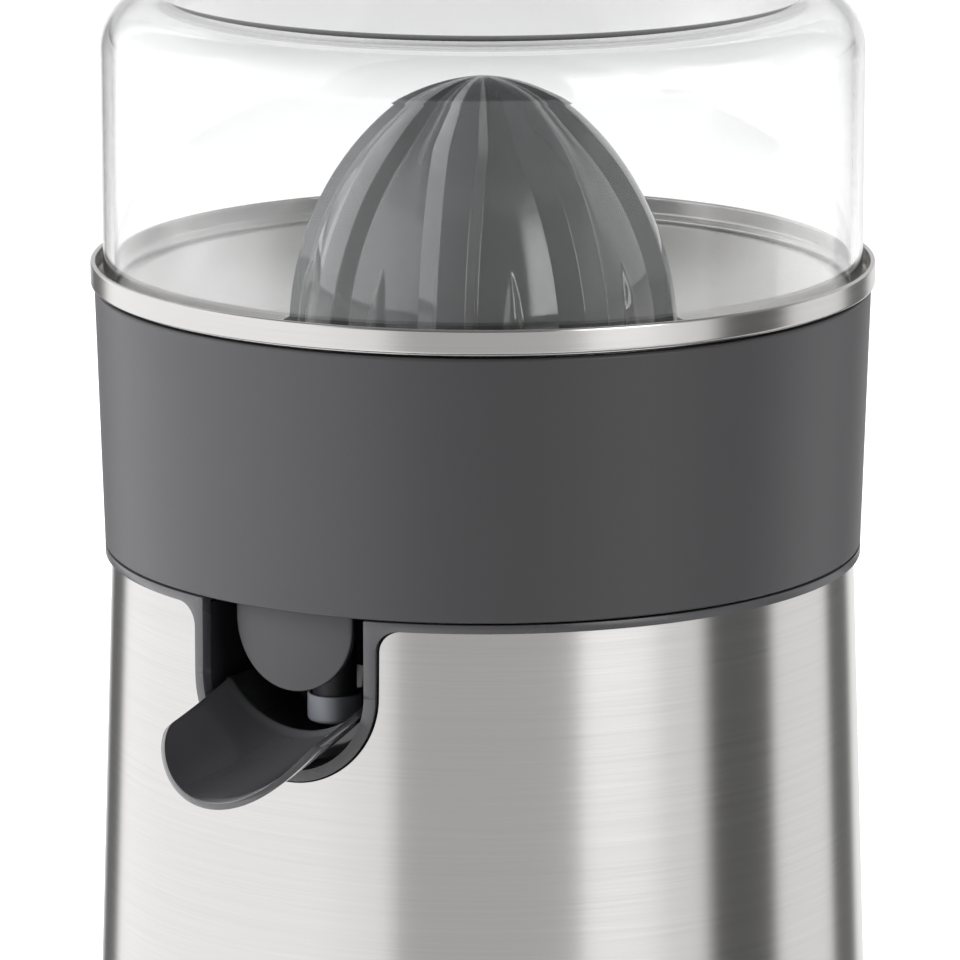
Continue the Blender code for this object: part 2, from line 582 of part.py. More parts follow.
def make_cover_screws():
    for index, centre in enumerate(around(4, POST_DISTANCE, 45)):
        outline = [(0, 0.1), (3.6, 0.1), (3.6, 1.4), (1.4, 1.4), (1.4, 13.0), (0, 13.0)]
        points = [(radius * MM, height * MM) for radius, height in outline]
        turned(f"cover_screw_{index + 1}", points, "bright_steel", 12, centre, closed=False)


# --- Drive ---------------------------------------------------------------------------------

def make_spindle():
    outline = at_groove((0, -91.7), (4.0, -91.7), (4.0, -41.2), (6.0, -41.2), (6.0, -39.4), (4.0, -39.4))
    neck = SEAL_TOP + PRESS_TRAVEL + 2 * GAP
    outline += [(SPINDLE_RADIUS, neck), (0, neck)]
    item = turned("drive_spindle", outline, "bright_steel", 24, closed=False)
    head = cylinder_mesh(SPINDLE_HEAD, neck - 0.2 * MM, GROOVE_Z + 8 * MM, segments=6)
    return combine(item, "UNION", head)


def make_return_spring():
    """An open coil between the gearbox lid and the spindle's collar."""
    turns, steps, sides = 5, 10, 5
    low, high = GEARBOX_TOP + 3.4 * MM, GROOVE_Z - 42.2 * MM
    coil, wire = 5.25 * MM, 0.5 * MM
    bm = bmesh.new()
    loops = []
    count = turns * steps
    for i in range(count + 1):
        angle = 2 * math.pi * i / steps
        height = low + wire + (high - low - 2 * wire) * i / count
        across = Vector((math.cos(angle), math.sin(angle), 0))
        centre = across * coil + Vector((0, 0, height))
        loops.append([bm.verts.new(centre + across * wire * math.cos(2 * math.pi * k / sides)
                                   + Vector((0, 0, wire * math.sin(2 * math.pi * k / sides))))
                      for k in range(sides)])
    for near, far in zip(loops, loops[1:]):
        for k in range(sides):
            j = (k + 1) % sides
            bm.faces.new((near[k], near[j], far[j], far[k]))
    bm.faces.new(loops[0])
    bm.faces.new(list(reversed(loops[-1])))
    return place("return_spring", bm, "bright_steel")


def gear_outline(teeth, module, phase):
    """Straight-flanked teeth with running backlash; one tooth stands at the phase angle."""
    pitch = teeth * module / 2
    steps = ((-0.30, pitch - 1.2 * module), (-0.13, pitch + 0.8 * module),
             (0.13, pitch + 0.8 * module), (0.30, pitch - 1.2 * module))
    outline = []
    for tooth in range(teeth):
        for share, radius in steps:
            angle = phase + 2 * math.pi * (tooth + share) / teeth
            outline.append((radius * math.cos(angle), radius * math.sin(angle)))
    return outline


def gear_mesh(teeth, module, phase, low, high, centre=(0, 0)):
    bm = prism_mesh(gear_outline(teeth, module, phase), low, high)
    bmesh.ops.translate(bm, verts=bm.verts, vec=(centre[0], centre[1], 0))
    return bm


def gear_centres():
    first = (OUTPUT_TEETH + IDLER_PINION_TEETH) * OUTPUT_MODULE / 2
    second = (IDLER_TEETH + MOTOR_TEETH) * MOTOR_MODULE / 2
    idler = (first * math.cos(IDLER_ANGLE), first * math.sin(IDLER_ANGLE))
    motor = (idler[0] + second * math.cos(MOTOR_ANGLE), idler[1] + second * math.sin(MOTOR_ANGLE))
    return idler, motor


def make_gears():
    idler, motor = gear_centres()
    teeth = gear_mesh(OUTPUT_TEETH, OUTPUT_MODULE, IDLER_ANGLE, 121 * MM, 129 * MM)
    output = place("output_gear", teeth, "nylon", smooth=False)
    combine(output, "DIFFERENCE", cylinder_mesh(SPINDLE_RADIUS + GAP, 110 * MM, 140 * MM, segments=24))
    phase = IDLER_ANGLE + math.pi + math.pi / IDLER_PINION_TEETH
    teeth = gear_mesh(IDLER_PINION_TEETH, OUTPUT_MODULE, phase, 120.5 * MM, 131.4 * MM, idler)
    item = place("idler_gear", teeth, "nylon", smooth=False)
    combine(item, "UNION", gear_mesh(IDLER_TEETH, MOTOR_MODULE, MOTOR_ANGLE, 131 * MM, 136.5 * MM, idler))
    combine(item, "DIFFERENCE", cylinder_mesh(2.3 * MM, 110 * MM, 140 * MM, idler, 12))
    phase = MOTOR_ANGLE + math.pi + math.pi / MOTOR_TEETH
    teeth = gear_mesh(MOTOR_TEETH, MOTOR_MODULE, phase, 130 * MM, 137.5 * MM, motor)
    pinion = place("motor_pinion", teeth, "bright_steel", smooth=False)
    combine(pinion, "DIFFERENCE", cylinder_mesh(1.6 * MM + GAP, 110 * MM, 140 * MM, motor, 12))
    disc("idler_axle", 2.0 * MM, 118.3 * MM, 140.5 * MM, "bright_steel", 12, idler)


def hull_outline(circles, steps=48):
    """The outline around a set of (x, y, radius) circles."""
    outline = []
    for index in range(steps):
        angle = 2 * math.pi * index / steps
        east, north = math.cos(angle), math.sin(angle)
        x, y, radius = max(circles, key=lambda circle: circle[0] * east + circle[1] * north + circle[2])
        outline.append((x + radius * east, y + radius * north))
    return outline


def make_gearbox():
    idler, motor = gear_centres()
    inner = [(0, 0, 26 * MM), (*idler, 18.5 * MM), (*motor, 8 * MM)]
    outer = [(x, y, radius + GEARBOX_WALL) for x, y, radius in inner]
    housing = place("gearbox_housing", prism_mesh(hull_outline(outer), GEARBOX_FOOT, GEARBOX_TOP),
                    "inner_plastic")
    combine(housing, "DIFFERENCE",
            prism_mesh(hull_outline(inner), GEARBOX_FOOT + 3 * MM, GEARBOX_TOP + 5 * MM))
    holes = cylinder_mesh(SPINDLE_RADIUS + GAP, 100 * MM, 125 * MM, segments=24)
    cylinder_mesh(2.0 * MM, 100 * MM, 125 * MM, motor, 12, holes)
    combine(housing, "DIFFERENCE", holes)
    lid = place("gearbox_lid", prism_mesh(hull_outline(outer), GEARBOX_TOP + GAP, GEARBOX_TOP + 3 * MM),
                "inner_plastic")
    combine(lid, "DIFFERENCE", cylinder_mesh(SPINDLE_RADIUS + GAP, 130 * MM, 150 * MM, segments=24))
    ring("upper_bush", SPINDLE_RADIUS + 0.1 * MM, TOWER_BORE - GAP, GROOVE_Z - 33 * MM, GROOVE_Z - 24 * MM,
         "nylon", 24)
    ring("shaft_seal", SPINDLE_RADIUS + GAP, TOWER_RADIUS - 0.2 * MM, TOWER_TOP + GAP, SEAL_TOP,
         "rubber", 24)


def make_motor():
    motor = gear_centres()[1]
    wall = 1.6 * MM
    low, high = MOTOR_FOOT + 6 * MM, MOTOR_TOP
    can = [(MOTOR_RADIUS, low), (MOTOR_RADIUS, high), (2.0 * MM, high), (2.0 * MM, high - wall),
           (MOTOR_RADIUS - wall, high - wall), (MOTOR_RADIUS - wall, low)]
    turned("motor_can", can, "bright_steel", 32, motor)
    cap = [(2.0 * MM, MOTOR_FOOT + 2 * MM), (12 * MM, MOTOR_FOOT), (MOTOR_RADIUS, MOTOR_FOOT + 2 * MM),
           (MOTOR_RADIUS, low - GAP), (2.0 * MM, low - GAP)]
    turned("motor_end_cap", cap, "dark_plastic", 32, motor)
    disc("motor_shaft", 1.6 * MM, MOTOR_FOOT + 3 * MM, 138.5 * MM, "bright_steel", 12, motor)
    ring("motor_rotor", 1.6 * MM + GAP, 17 * MM, low + 8 * MM, high - 8 * MM, "copper", 24, motor)
    for index, start in enumerate((-60, 120)):
        span = arc((0, 0), 21.9 * MM, start, start + 120, 8)
        span += arc((0, 0), 18.0 * MM, start + 120, start, 8)
        outline = [(motor[0] + x, motor[1] + y) for x, y in span]
        place(f"magnet_{index + 1}", prism_mesh(outline, low + 6 * MM, high - 6 * MM), "rubber")


def make_switch():
    """A thrust cap under the spindle presses a lever onto the start switch."""
    outline = [(0, 105.0), (1.2, 105.0), (6.0, 108.0), (6.0, 110.4), (0, 110.4)]
    turned("thrust_cap", [(r * MM, z * MM) for r, z in outline], "nylon", SMALL_SEGMENTS, closed=False)
    lever = box_mesh((-2.4 * MM, -21.6 * MM, 103.2 * MM), (2.4 * MM, 3 * MM, 104.4 * MM))
    place("switch_lever", lever, "bright_steel", smooth=False)
    body = place("micro_switch", box_mesh((-4.6 * MM, -24 * MM, 86 * MM), (4.6 * MM, -2 * MM, 99 * MM)),
                 "dark_plastic", smooth=False)
    ears = box_mesh((-4.6 * MM, -24 * MM, 98 * MM), (-2.8 * MM, -17 * MM, 106 * MM))
    box_mesh((2.8 * MM, -24 * MM, 98 * MM), (4.6 * MM, -17 * MM, 106 * MM), ears)
    combine(body, "UNION", ears)
    bracket = box_mesh((-7 * MM, -26.3 * MM, 84 * MM), (7 * MM, -24.3 * MM, GEARBOX_FOOT - GAP))
    place("switch_bracket", bracket, "bright_steel", smooth=False)


def make_electrics():
    board = box_mesh((-62 * MM, -22 * MM, 12 * MM), (-60.4 * MM, 22 * MM, 46 * MM))
    place("circuit_board", board, "board", smooth=False)
    block = box_mesh((-60.1 * MM, -12 * MM, 18 * MM), (-51 * MM, 12 * MM, 28 * MM))
    place("terminal_block", block, "nylon", smooth=False)
    holder = box_mesh((-66 * MM, -24 * MM, 3.3 * MM), (-56 * MM, 24 * MM, 11.6 * MM))
    place("board_holder", holder, "inner_plastic", smooth=False)


def build():
    clear_scene()
    make_dust_cover()
    make_reamer()
    make_thrust_washer()
    make_strainer()
    make_steel_pan()
    make_juice_collector()
    make_nozzle_tip()
    make_spout()
    make_base_collar()
    make_spout_niche()
    make_motor_deck()
    make_base_shell()
    make_cord_inlet()
    make_bottom_cover()
    make_feet()
    make_cover_screws()
    make_spindle()
    make_return_spring()
    make_gears()
    make_gearbox()
    make_motor()
    make_switch()
    make_electrics()


build()
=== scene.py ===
"""Finished looks of the citrus press juicer: shells, reamer, clear cover, spout and fittings."""
import json
import math

import bmesh
import bpy
from bpy.props import FloatProperty, FloatVectorProperty, IntProperty, PointerProperty
from mathutils import Matrix, Vector


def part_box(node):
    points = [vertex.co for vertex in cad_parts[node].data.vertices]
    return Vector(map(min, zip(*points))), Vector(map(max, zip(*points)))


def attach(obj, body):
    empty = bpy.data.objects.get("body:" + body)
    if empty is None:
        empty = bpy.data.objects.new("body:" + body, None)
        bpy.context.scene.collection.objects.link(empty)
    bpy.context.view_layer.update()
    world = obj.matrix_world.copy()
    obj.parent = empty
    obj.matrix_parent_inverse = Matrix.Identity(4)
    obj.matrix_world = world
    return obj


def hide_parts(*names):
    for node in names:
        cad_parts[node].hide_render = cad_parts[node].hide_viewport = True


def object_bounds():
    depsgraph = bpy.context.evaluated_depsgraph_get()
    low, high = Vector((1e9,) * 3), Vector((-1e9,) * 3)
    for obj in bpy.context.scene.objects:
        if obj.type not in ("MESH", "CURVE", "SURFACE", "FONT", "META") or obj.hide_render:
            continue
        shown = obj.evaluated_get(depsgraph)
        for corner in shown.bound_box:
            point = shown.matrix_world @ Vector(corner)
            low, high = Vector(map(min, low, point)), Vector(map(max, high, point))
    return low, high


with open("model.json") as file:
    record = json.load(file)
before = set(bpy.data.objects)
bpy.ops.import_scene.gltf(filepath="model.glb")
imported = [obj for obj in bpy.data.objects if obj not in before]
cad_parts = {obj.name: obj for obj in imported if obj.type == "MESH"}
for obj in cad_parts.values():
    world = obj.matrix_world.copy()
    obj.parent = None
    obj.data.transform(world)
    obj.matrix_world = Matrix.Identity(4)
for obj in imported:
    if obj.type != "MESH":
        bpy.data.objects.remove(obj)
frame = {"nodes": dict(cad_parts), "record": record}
CAD_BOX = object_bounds()

bl_info = {
    "name": "Citrus press juicer",
    "version": (1, 0, 0),
    "blender": (4, 5, 0),
    "location": "3D View > Sidebar > Citrus press",
    "description": "Builds the finished pieces of a citrus press around its frame",
    "category": "Object",
}

MM = 0.001
PAN_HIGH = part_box("steel_pan")[1]
COVER_LOW, COVER_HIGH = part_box("dust_cover")
COLLECTOR_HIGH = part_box("juice_collector")[1]
COLLAR_LOW, COLLAR_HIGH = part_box("base_collar")
SHELL_LOW, SHELL_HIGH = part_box("base_shell")
REAMER_LOW, REAMER_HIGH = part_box("reamer")
SPOUT_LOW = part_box("spout")[0]
NOZZLE_LOW, NOZZLE_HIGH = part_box("nozzle_tip")
INLET_LOW, INLET_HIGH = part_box("cord_inlet")
SCREW_LOW, SCREW_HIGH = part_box("cover_screw_1")
FOOT_LOW, FOOT_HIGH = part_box("foot_1")

GROOVE = PAN_HIGH.z - 5.4 * MM      # height of the dark groove between the pan and the band
VIEW_AZIMUTH = math.radians(31.6)   # the viewer stands this far round from the spout
INTERIOR = {
    "thrust_washer": "nylon", "spout_niche": "niche", "motor_deck": "inner", "upper_bush": "nylon",
    "shaft_seal": "rubber", "drive_spindle": "turned steel", "return_spring": "turned steel",
    "output_gear": "nylon", "idler_gear": "nylon", "motor_pinion": "turned steel",
    "idler_axle": "turned steel", "gearbox_housing": "inner", "gearbox_lid": "inner",
    "motor_can": "turned steel", "motor_end_cap": "niche", "motor_shaft": "turned steel",
    "motor_rotor": "windings", "magnet_1": "ferrite", "magnet_2": "ferrite", "thrust_cap": "nylon",
    "switch_lever": "turned steel", "micro_switch": "niche", "switch_bracket": "turned steel",
    "circuit_board": "board", "terminal_block": "nylon", "board_holder": "inner",
    "bottom_cover": "inner",
}
BODIES = {name: body for body, names in frame["record"]["behaviour"]["bodies"].items() for name in names}


# --- Settings a user would change -----------------------------------------------------------

def size_of(name, description, default):
    return FloatProperty(name=name, description=description, default=default, unit="LENGTH", precision=5)


def colour_of(name, description, default):
    return FloatVectorProperty(name=name, description=description, default=default, subtype="COLOR")


class PressSizes(bpy.types.PropertyGroup):
    facets: IntProperty(name="Facets", description="Steps round each turned piece", default=240, min=48)
    edge: size_of("Edge rounding", "Rounding of moulded edges", 0.35 * MM)
    cover_wall: size_of("Cover wall", "Wall thickness of the clear cover", 2.3 * MM)
    sheet: size_of("Sheet", "Thickness of the base's steel sheet", 0.8 * MM)
    ribs: IntProperty(name="Ribs", description="Main ribs round the reamer", default=8, min=3)
    flute: size_of("Flute depth", "Depth of the flutes between the ribs", 2.7 * MM)
    strainer_bars: IntProperty(name="Strainer bars", description="Bars of the strainer", default=36, min=8)


class PressColours(bpy.types.PropertyGroup):
    steel: colour_of("Steel", "Brushed steel", (0.63, 0.62, 0.61))
    band: colour_of("Band", "Matt plastic of the collector", (0.031, 0.031, 0.033))
    reamer: colour_of("Reamer", "Polished plastic of the reamer", (0.036, 0.037, 0.039))
    trim: colour_of("Trim", "Dark satin plastic of the collar", (0.045, 0.045, 0.048))
    spout: colour_of("Spout", "Polished plastic of the spout", (0.050, 0.050, 0.053))
    nozzle: colour_of("Nozzle", "Silicone of the outlet nozzle", (0.21, 0.22, 0.24))


def sizes():
    return bpy.context.scene.press_sizes


def colours():
    return bpy.context.scene.press_colours


# --- Outlines and meshes --------------------------------------------------------------------

def at_groove(*points):
    """Outline points given as (radius, height over the groove) in millimetres."""
    return [(radius * MM, GROOVE + height * MM) for radius, height in points]


def arc(centre, radius, start, end, steps):
    """Points on an arc, angles in degrees, both ends included."""
    points = []
    for index in range(steps + 1):
        angle = math.radians(start + (end - start) * index / steps)
        points.append((centre[0] + radius * math.cos(angle), centre[1] + radius * math.sin(angle)))
    return points


STRAIGHT = math.radians(172)        # a corner this open is left as it is
HOLD = 1.12                         # the flats are held this far beyond a rounding


def fillet(points, radius, closed=True, steps=5):
    """Rounds the corners of an outline, and holds the flats beside each rounding."""
    count = len(points)
    rounded = []
    for index, point in enumerate(points):
        if not closed and index in (0, count - 1):
            rounded.append(point)
            continue
        here = Vector(point)
        back, ahead = Vector(points[index - 1]) - here, Vector(points[(index + 1) % count]) - here
        spread = back.angle(ahead)
        if spread > STRAIGHT:
            rounded.append(point)
            continue
        reach = min(radius / math.tan(spread / 2), 0.42 * back.length, 0.42 * ahead.length)
        size = reach * math.tan(spread / 2)
        back, ahead = back.normalized(), ahead.normalized()
        start, end = here + back * reach, here + ahead * reach
        middle = here + (back + ahead).normalized() * (size / math.sin(spread / 2))
        rounded.append(tuple(here + back * reach * HOLD))
        first, last = start - middle, end - middle
        for step in range(steps + 1):
            rounded.append(tuple(middle + first.slerp(last, step / steps) * size))
        rounded.append(tuple(here + ahead * reach * HOLD))
    return rounded


def link(name, data):
    item = bpy.data.objects.new(name, data)
    bpy.context.scene.collection.objects.link(item)
    return item


def to_object(name, bm, smooth_angle=None):
    bmesh.ops.remove_doubles(bm, verts=bm.verts, dist=1e-7)
    bmesh.ops.recalc_face_normals(bm, faces=bm.faces)
    mesh = bpy.data.meshes.new(name)
    bm.to_mesh(mesh)
    bm.free()
    mesh.shade_smooth()
    if smooth_angle:
        mesh.set_sharp_from_angle(angle=math.radians(smooth_angle))
    return link(name, mesh)


def weave_rings(bm, loops, wrap=True):
    """Joins neighbouring loops of vertices with quads."""
    for near, far in zip(loops, loops[1:]):
        last = len(near) if wrap else len(near) - 1
        for i in range(last):
            j = (i + 1) % len(near)
            bm.faces.new((near[i], near[j], far[j], far[i]))


def turned(name, outline, closed=True, centre=(0, 0), steps=None, smooth_angle=None):
    """Turns an outline of (radius, height) points about the vertical through centre."""
    steps = steps or sizes().facets
    bm = bmesh.new()
    loops = []
    for i in range(steps):
        angle = 2 * math.pi * i / steps
        loops.append([bm.verts.new((centre[0] + radius * math.cos(angle),
                                    centre[1] + radius * math.sin(angle), height))
                      for radius, height in outline])
    weave_rings(bm, loops + [loops[0]], wrap=closed)
    return to_object(name, bm, smooth_angle)


def make_plain(item):
    """Applies an object's modifiers, so that its shape is in its mesh."""
    bpy.context.view_layer.update()
    graph = bpy.context.evaluated_depsgraph_get()
    mesh = bpy.data.meshes.new_from_object(item.evaluated_get(graph))
    old = item.data
    item.modifiers.clear()
    item.data = mesh
    bpy.data.meshes.remove(old)
    mesh.name = item.name
    mesh.set_sharp_from_angle(angle=math.radians(40))
    return item


def thicken(item, thickness, offset=-1.0):
    solid = item.modifiers.new("Wall", "SOLIDIFY")
    solid.thickness = thickness
    solid.offset = offset
    solid.use_even_offset = True
    return item


def soften(item, width, segments=3, angle=40):
    bevel = item.modifiers.new("Edges", "BEVEL")
    bevel.width = width
    bevel.segments = segments
    bevel.limit_method = "ANGLE"
    bevel.angle_limit = math.radians(angle)
    bevel.harden_normals = True
    return item


def hand_in(item, body, node_names, material):
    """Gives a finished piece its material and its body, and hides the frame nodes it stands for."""
    item.data.materials.clear()
    item.data.materials.append(material)
    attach(item, body)
    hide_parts(*node_names)


def smooth_copy(node):
    """A copy of a frame node with its facets merged and its round faces shaded smooth."""
    source = frame["nodes"][node]
    bm = bmesh.new()
    bm.from_mesh(source.data)
    bmesh.ops.remove_doubles(bm, verts=bm.verts, dist=1e-6)
    bmesh.ops.dissolve_limit(bm, angle_limit=math.radians(1), verts=bm.verts, edges=bm.edges)
    mesh = bpy.data.meshes.new(node + "_piece")
    bm.to_mesh(mesh)
    bm.free()
    mesh.shade_smooth()
    mesh.set_sharp_from_angle(angle=math.radians(32))
    return link(node + "_piece", mesh)


# --- Materials ------------------------------------------------------------------------------

class Nodes:
    """A node tree being built, with short ways to add and join its nodes."""

    def __init__(self, tree):
        self.tree = tree

    def add(self, kind, **settings):
        node = self.tree.nodes.new(kind)
        for key, value in settings.items():
            setattr(node, key, value)
        return node

    def join(self, output, socket):
        self.tree.links.new(output, socket)

    def feed(self, sockets, values):
        """Sets each socket to a number, or joins an output to it."""
        for socket, value in zip(sockets, values):
            if isinstance(value, (int, float)):
                socket.default_value = value
            else:
                self.join(value, socket)

    def maths(self, operation, *values):
        node = self.add("ShaderNodeMath", operation=operation)
        self.feed(node.inputs, values)
        return node.outputs[0]

    def vector(self, operation, *values):
        node = self.add("ShaderNodeVectorMath", operation=operation)
        self.feed(node.inputs, values)
        return node

    def mapped(self, value, **ends):
        """Maps one range of numbers to another; an end left out is 0 or 1."""
        node = self.add("ShaderNodeMapRange")
        for end, level in ends.items():
            node.inputs[end.replace("_", " ")].default_value = level
        self.join(value, node.inputs["Value"])
        return node.outputs["Result"]


class Finish(Nodes):
    """A material being built round its shader."""

    def __init__(self, name, colour, roughness, **fixed):
        self.material = bpy.data.materials.new(name)
        self.material.use_nodes = True
        super().__init__(self.material.node_tree)
        self.shader = self.tree.nodes["Principled BSDF"]
        self.shader.inputs["Base Color"].default_value = (*colour, 1.0)
        self.shader.inputs["Roughness"].default_value = roughness
        for socket, value in fixed.items():
            self.shader.inputs[socket.replace("_", " ")].default_value = value
        self.place = self.add("ShaderNodeTexCoord").outputs["Object"]

    def noise(self, vector, scale, detail=2.0, roughness=0.5, extra=None):
        node = self.add("ShaderNodeTexNoise", noise_dimensions="4D" if extra else "3D")
        for socket, value in (("Scale", scale), ("Detail", detail), ("Roughness", roughness)):
            node.inputs[socket].default_value = value
        self.join(vector, node.inputs["Vector"])
        if extra:
            self.join(extra, node.inputs["W"])
        return node.outputs["Fac"]

    def shade(self, value, colour, low, high):
        """Multiplies a colour by low..high as value goes from 0 to 1."""
        node = self.add("ShaderNodeMix", data_type="RGBA")
        node.inputs["A"].default_value = (*[c * low for c in colour], 1)
        node.inputs["B"].default_value = (*[min(1.0, c * high) for c in colour], 1)
        self.join(value, node.inputs["Factor"])
        self.join(node.outputs["Result"], self.shader.inputs["Base Color"])

    def rough(self, value, low, high):
        self.join(self.mapped(value, To_Min=low, To_Max=high), self.shader.inputs["Roughness"])

    def bump(self, value, strength, distance):
        node = self.add("ShaderNodeBump")
        node.inputs["Strength"].default_value = strength
        node.inputs["Distance"].default_value = distance
        self.join(value, node.inputs["Height"])
        self.join(node.outputs["Normal"], self.shader.inputs["Normal"])


def round_coordinates(finish):
    """Direction round the axis, height and radius: what a lathe's marks follow."""
    parts = finish.add("ShaderNodeSeparateXYZ")
    finish.join(finish.place, parts.inputs[0])
    flat = finish.add("ShaderNodeCombineXYZ")
    finish.feed(flat.inputs, (parts.outputs["X"], parts.outputs["Y"]))
    length = finish.vector("LENGTH", flat.outputs[0])
    unit = finish.vector("NORMALIZE", flat.outputs[0])
    return unit.outputs["Vector"], parts.outputs["Z"], length.outputs["Value"]


LINES = 4200.0                      # brushing lines per metre, in round numbers


def brushed_steel(name, roughness, streak=0.16, anisotropy=0.7):
    """Steel brushed round its axis: fine streaks, and highlights drawn across them."""
    colour = tuple(colours().steel)
    finish = Finish(name, colour, roughness, Metallic=1.0, Anisotropic=anisotropy,
                    Anisotropic_Rotation=0.25)
    unit, height, radius = round_coordinates(finish)
    round_vector = finish.vector("SCALE", unit)
    round_vector.inputs["Scale"].default_value = 2.6
    lift = finish.add("ShaderNodeCombineXYZ")
    finish.join(finish.maths("MULTIPLY", height, LINES), lift.inputs["Z"])
    place = finish.vector("ADD", round_vector.outputs[0], lift.outputs[0]).outputs[0]
    fine = finish.noise(place, 1.0, 3.0, 0.65, finish.maths("MULTIPLY", radius, LINES))
    broad = finish.noise(place, 0.16, 2.0, 0.5, finish.maths("MULTIPLY", radius, LINES / 6))
    mixed = finish.maths("ADD", finish.maths("MULTIPLY", fine, 0.7), finish.maths("MULTIPLY", broad, 0.3))
    finish.shade(mixed, colour, 1.0 - streak, 1.0 + streak)
    finish.rough(mixed, roughness * 0.86, roughness * 1.14)
    finish.bump(fine, 0.07, 0.00002)
    turn = finish.vector("CROSS_PRODUCT")
    turn.inputs[0].default_value = (0, 0, 1)
    finish.join(unit, turn.inputs[1])
    finish.join(turn.outputs["Vector"], finish.shader.inputs["Tangent"])
    return finish.material


def grained_plastic(name, colour, roughness, grain=0.00022, depth=0.00005):
    """Moulded plastic with a spark-eroded matt grain."""
    finish = Finish(name, colour, roughness, IOR=1.5)
    fine = finish.noise(finish.place, 1 / grain, 2.0, 0.6)
    broad = finish.noise(finish.place, 60.0, 3.0)
    finish.shade(fine, colour, 0.82, 1.2)
    finish.rough(broad, roughness * 0.94, roughness * 1.06)
    finish.bump(fine, 0.35, depth)
    return finish.material


def polished_plastic(name, colour, roughness, **fixed):
    """Glossy moulded plastic with a faint handling haze."""
    finish = Finish(name, colour, roughness, IOR=1.5, **fixed)
    haze = finish.noise(finish.place, 38.0, 3.0)
    finish.shade(haze, colour, 0.93, 1.07)
    finish.rough(haze, roughness * 0.8, roughness * 1.2)
    return finish.material


def clear_plastic():
    """Clear moulded plastic: the faintest haze, and a grey depth where the wall is seen edge on."""
    finish = Finish("clear moulded plastic", (0.985, 0.988, 0.988), 0.015, IOR=1.49,
                    Transmission_Weight=1.0)
    haze = finish.noise(finish.place, 24.0, 2.0)
    finish.rough(haze, 0.005, 0.03)
    depth = finish.add("ShaderNodeVolumeAbsorption")
    depth.inputs["Color"].default_value = (0.10, 0.10, 0.11, 1)
    depth.inputs["Density"].default_value = 18.0
    output = next(node for node in finish.tree.nodes if node.type == "OUTPUT_MATERIAL")
    finish.join(depth.outputs["Volume"], output.inputs["Volume"])
    return finish.material


def wound_copper():
    finish = Finish("wound copper", (0.55, 0.24, 0.11), 0.35, Metallic=0.9)
    waves = finish.add("ShaderNodeTexWave", bands_direction="Z")
    waves.inputs["Scale"].default_value = 330.0
    waves.inputs["Distortion"].default_value = 1.5
    finish.join(finish.place, waves.inputs["Vector"])
    finish.shade(waves.outputs["Fac"], (0.55, 0.24, 0.11), 0.45, 1.1)
    finish.bump(waves.outputs["Fac"], 0.6, 0.0003)
    return finish.material


def circuit_board():
    finish = Finish("circuit board", (0.03, 0.13, 0.06), 0.4)
    cells = finish.add("ShaderNodeTexVoronoi", feature="DISTANCE_TO_EDGE")
    cells.inputs["Scale"].default_value = 260.0
    finish.join(finish.place, cells.inputs["Vector"])
    finish.shade(cells.outputs["Distance"], (0.03, 0.13, 0.06), 1.5, 0.7)
    return finish.material


def make_finishes():
    tone = colours()
    return {
        "shell steel": brushed_steel("brushed steel, shell", 0.21, 0.12, 0.8),
        "pan steel": brushed_steel("brushed steel, pan", 0.24, 0.08, 0.6),
        "turned steel": brushed_steel("turned steel", 0.24, 0.10, 0.3),
        "band": grained_plastic("matt grey plastic", tuple(tone.band), 0.42),
        "reamer": polished_plastic("polished grey plastic", tuple(tone.reamer), 0.09, Coat_Weight=0.8,
                                   Coat_Roughness=0.03, Coat_IOR=1.6),
        "trim": polished_plastic("satin dark plastic", tuple(tone.trim), 0.28),
        "spout": polished_plastic("polished dark plastic", tuple(tone.spout), 0.14, Coat_Weight=0.8,
                                  Coat_Roughness=0.08),
        "niche": grained_plastic("dark inner plastic", (0.018, 0.018, 0.021), 0.5, 0.0004),
        "nozzle": polished_plastic("soft silicone", tuple(tone.nozzle), 0.42, Subsurface_Weight=0.05,
                                   Subsurface_Scale=0.002),
        "inner": grained_plastic("plain grey moulding", (0.27, 0.27, 0.265), 0.5, 0.0004),
        "rubber": grained_plastic("soft rubber", (0.022, 0.022, 0.022), 0.75, 0.0005),
        "nylon": grained_plastic("nylon", (0.66, 0.64, 0.57), 0.42, 0.0006, 0.00003),
        "ferrite": grained_plastic("ferrite", (0.05, 0.05, 0.055), 0.6, 0.0003),
        "windings": wound_copper(),
        "board": circuit_board(),
        "clear": clear_plastic(),
    }


FINISHES = {}


# --- Lift-off pieces ------------------------------------------------------------------------

def build_cover():
    """The clear cover: one moulding with an even wall and a soft shoulder."""
    wall = sizes().cover_wall
    radius, shoulder = COVER_HIGH.x, 12 * MM
    centre = (radius - shoulder, COVER_HIGH.z - 1 * MM - shoulder)
    foot = [(radius, COVER_LOW.z), (radius - wall, COVER_LOW.z)]
    outline = [(0, COVER_HIGH.z)]
    outline += arc(centre, shoulder, 90, 0, 20) + [(radius, COVER_LOW.z + 2 * MM)]
    inside = (radius - wall, COVER_LOW.z + 2 * MM)
    outline += fillet([outline[-1]] + foot + [inside], 0.7 * MM, closed=False)[1:]
    outline += arc(centre, shoulder - wall, 0, 90, 20) + [(0, COVER_HIGH.z - wall)]
    item = turned("dust_cover_clear", outline, closed=False)
    item.visible_shadow = False
    hand_in(item, "cover", ["dust_cover"], FINISHES["clear"])


RIB_PHASE = math.radians(22.1)      # direction of one rib's crown
CROWN, SLOPE, CUTTING = 2.9 * MM, 4.8 * MM, 2.4 * MM    # half a crown, its slope, its steeper side
SHORT_HALF, SHORT_RISE, SHORT_TOP = 2.1 * MM, 1.6 * MM, GROOVE + 8.3 * MM
SHORT_PLACE = 0.42                  # of the way from one crown to the next
SKIRT_FOOT = GROOVE - 11.6 * MM     # the cone's outer edge, clear of the strainer when pressed down


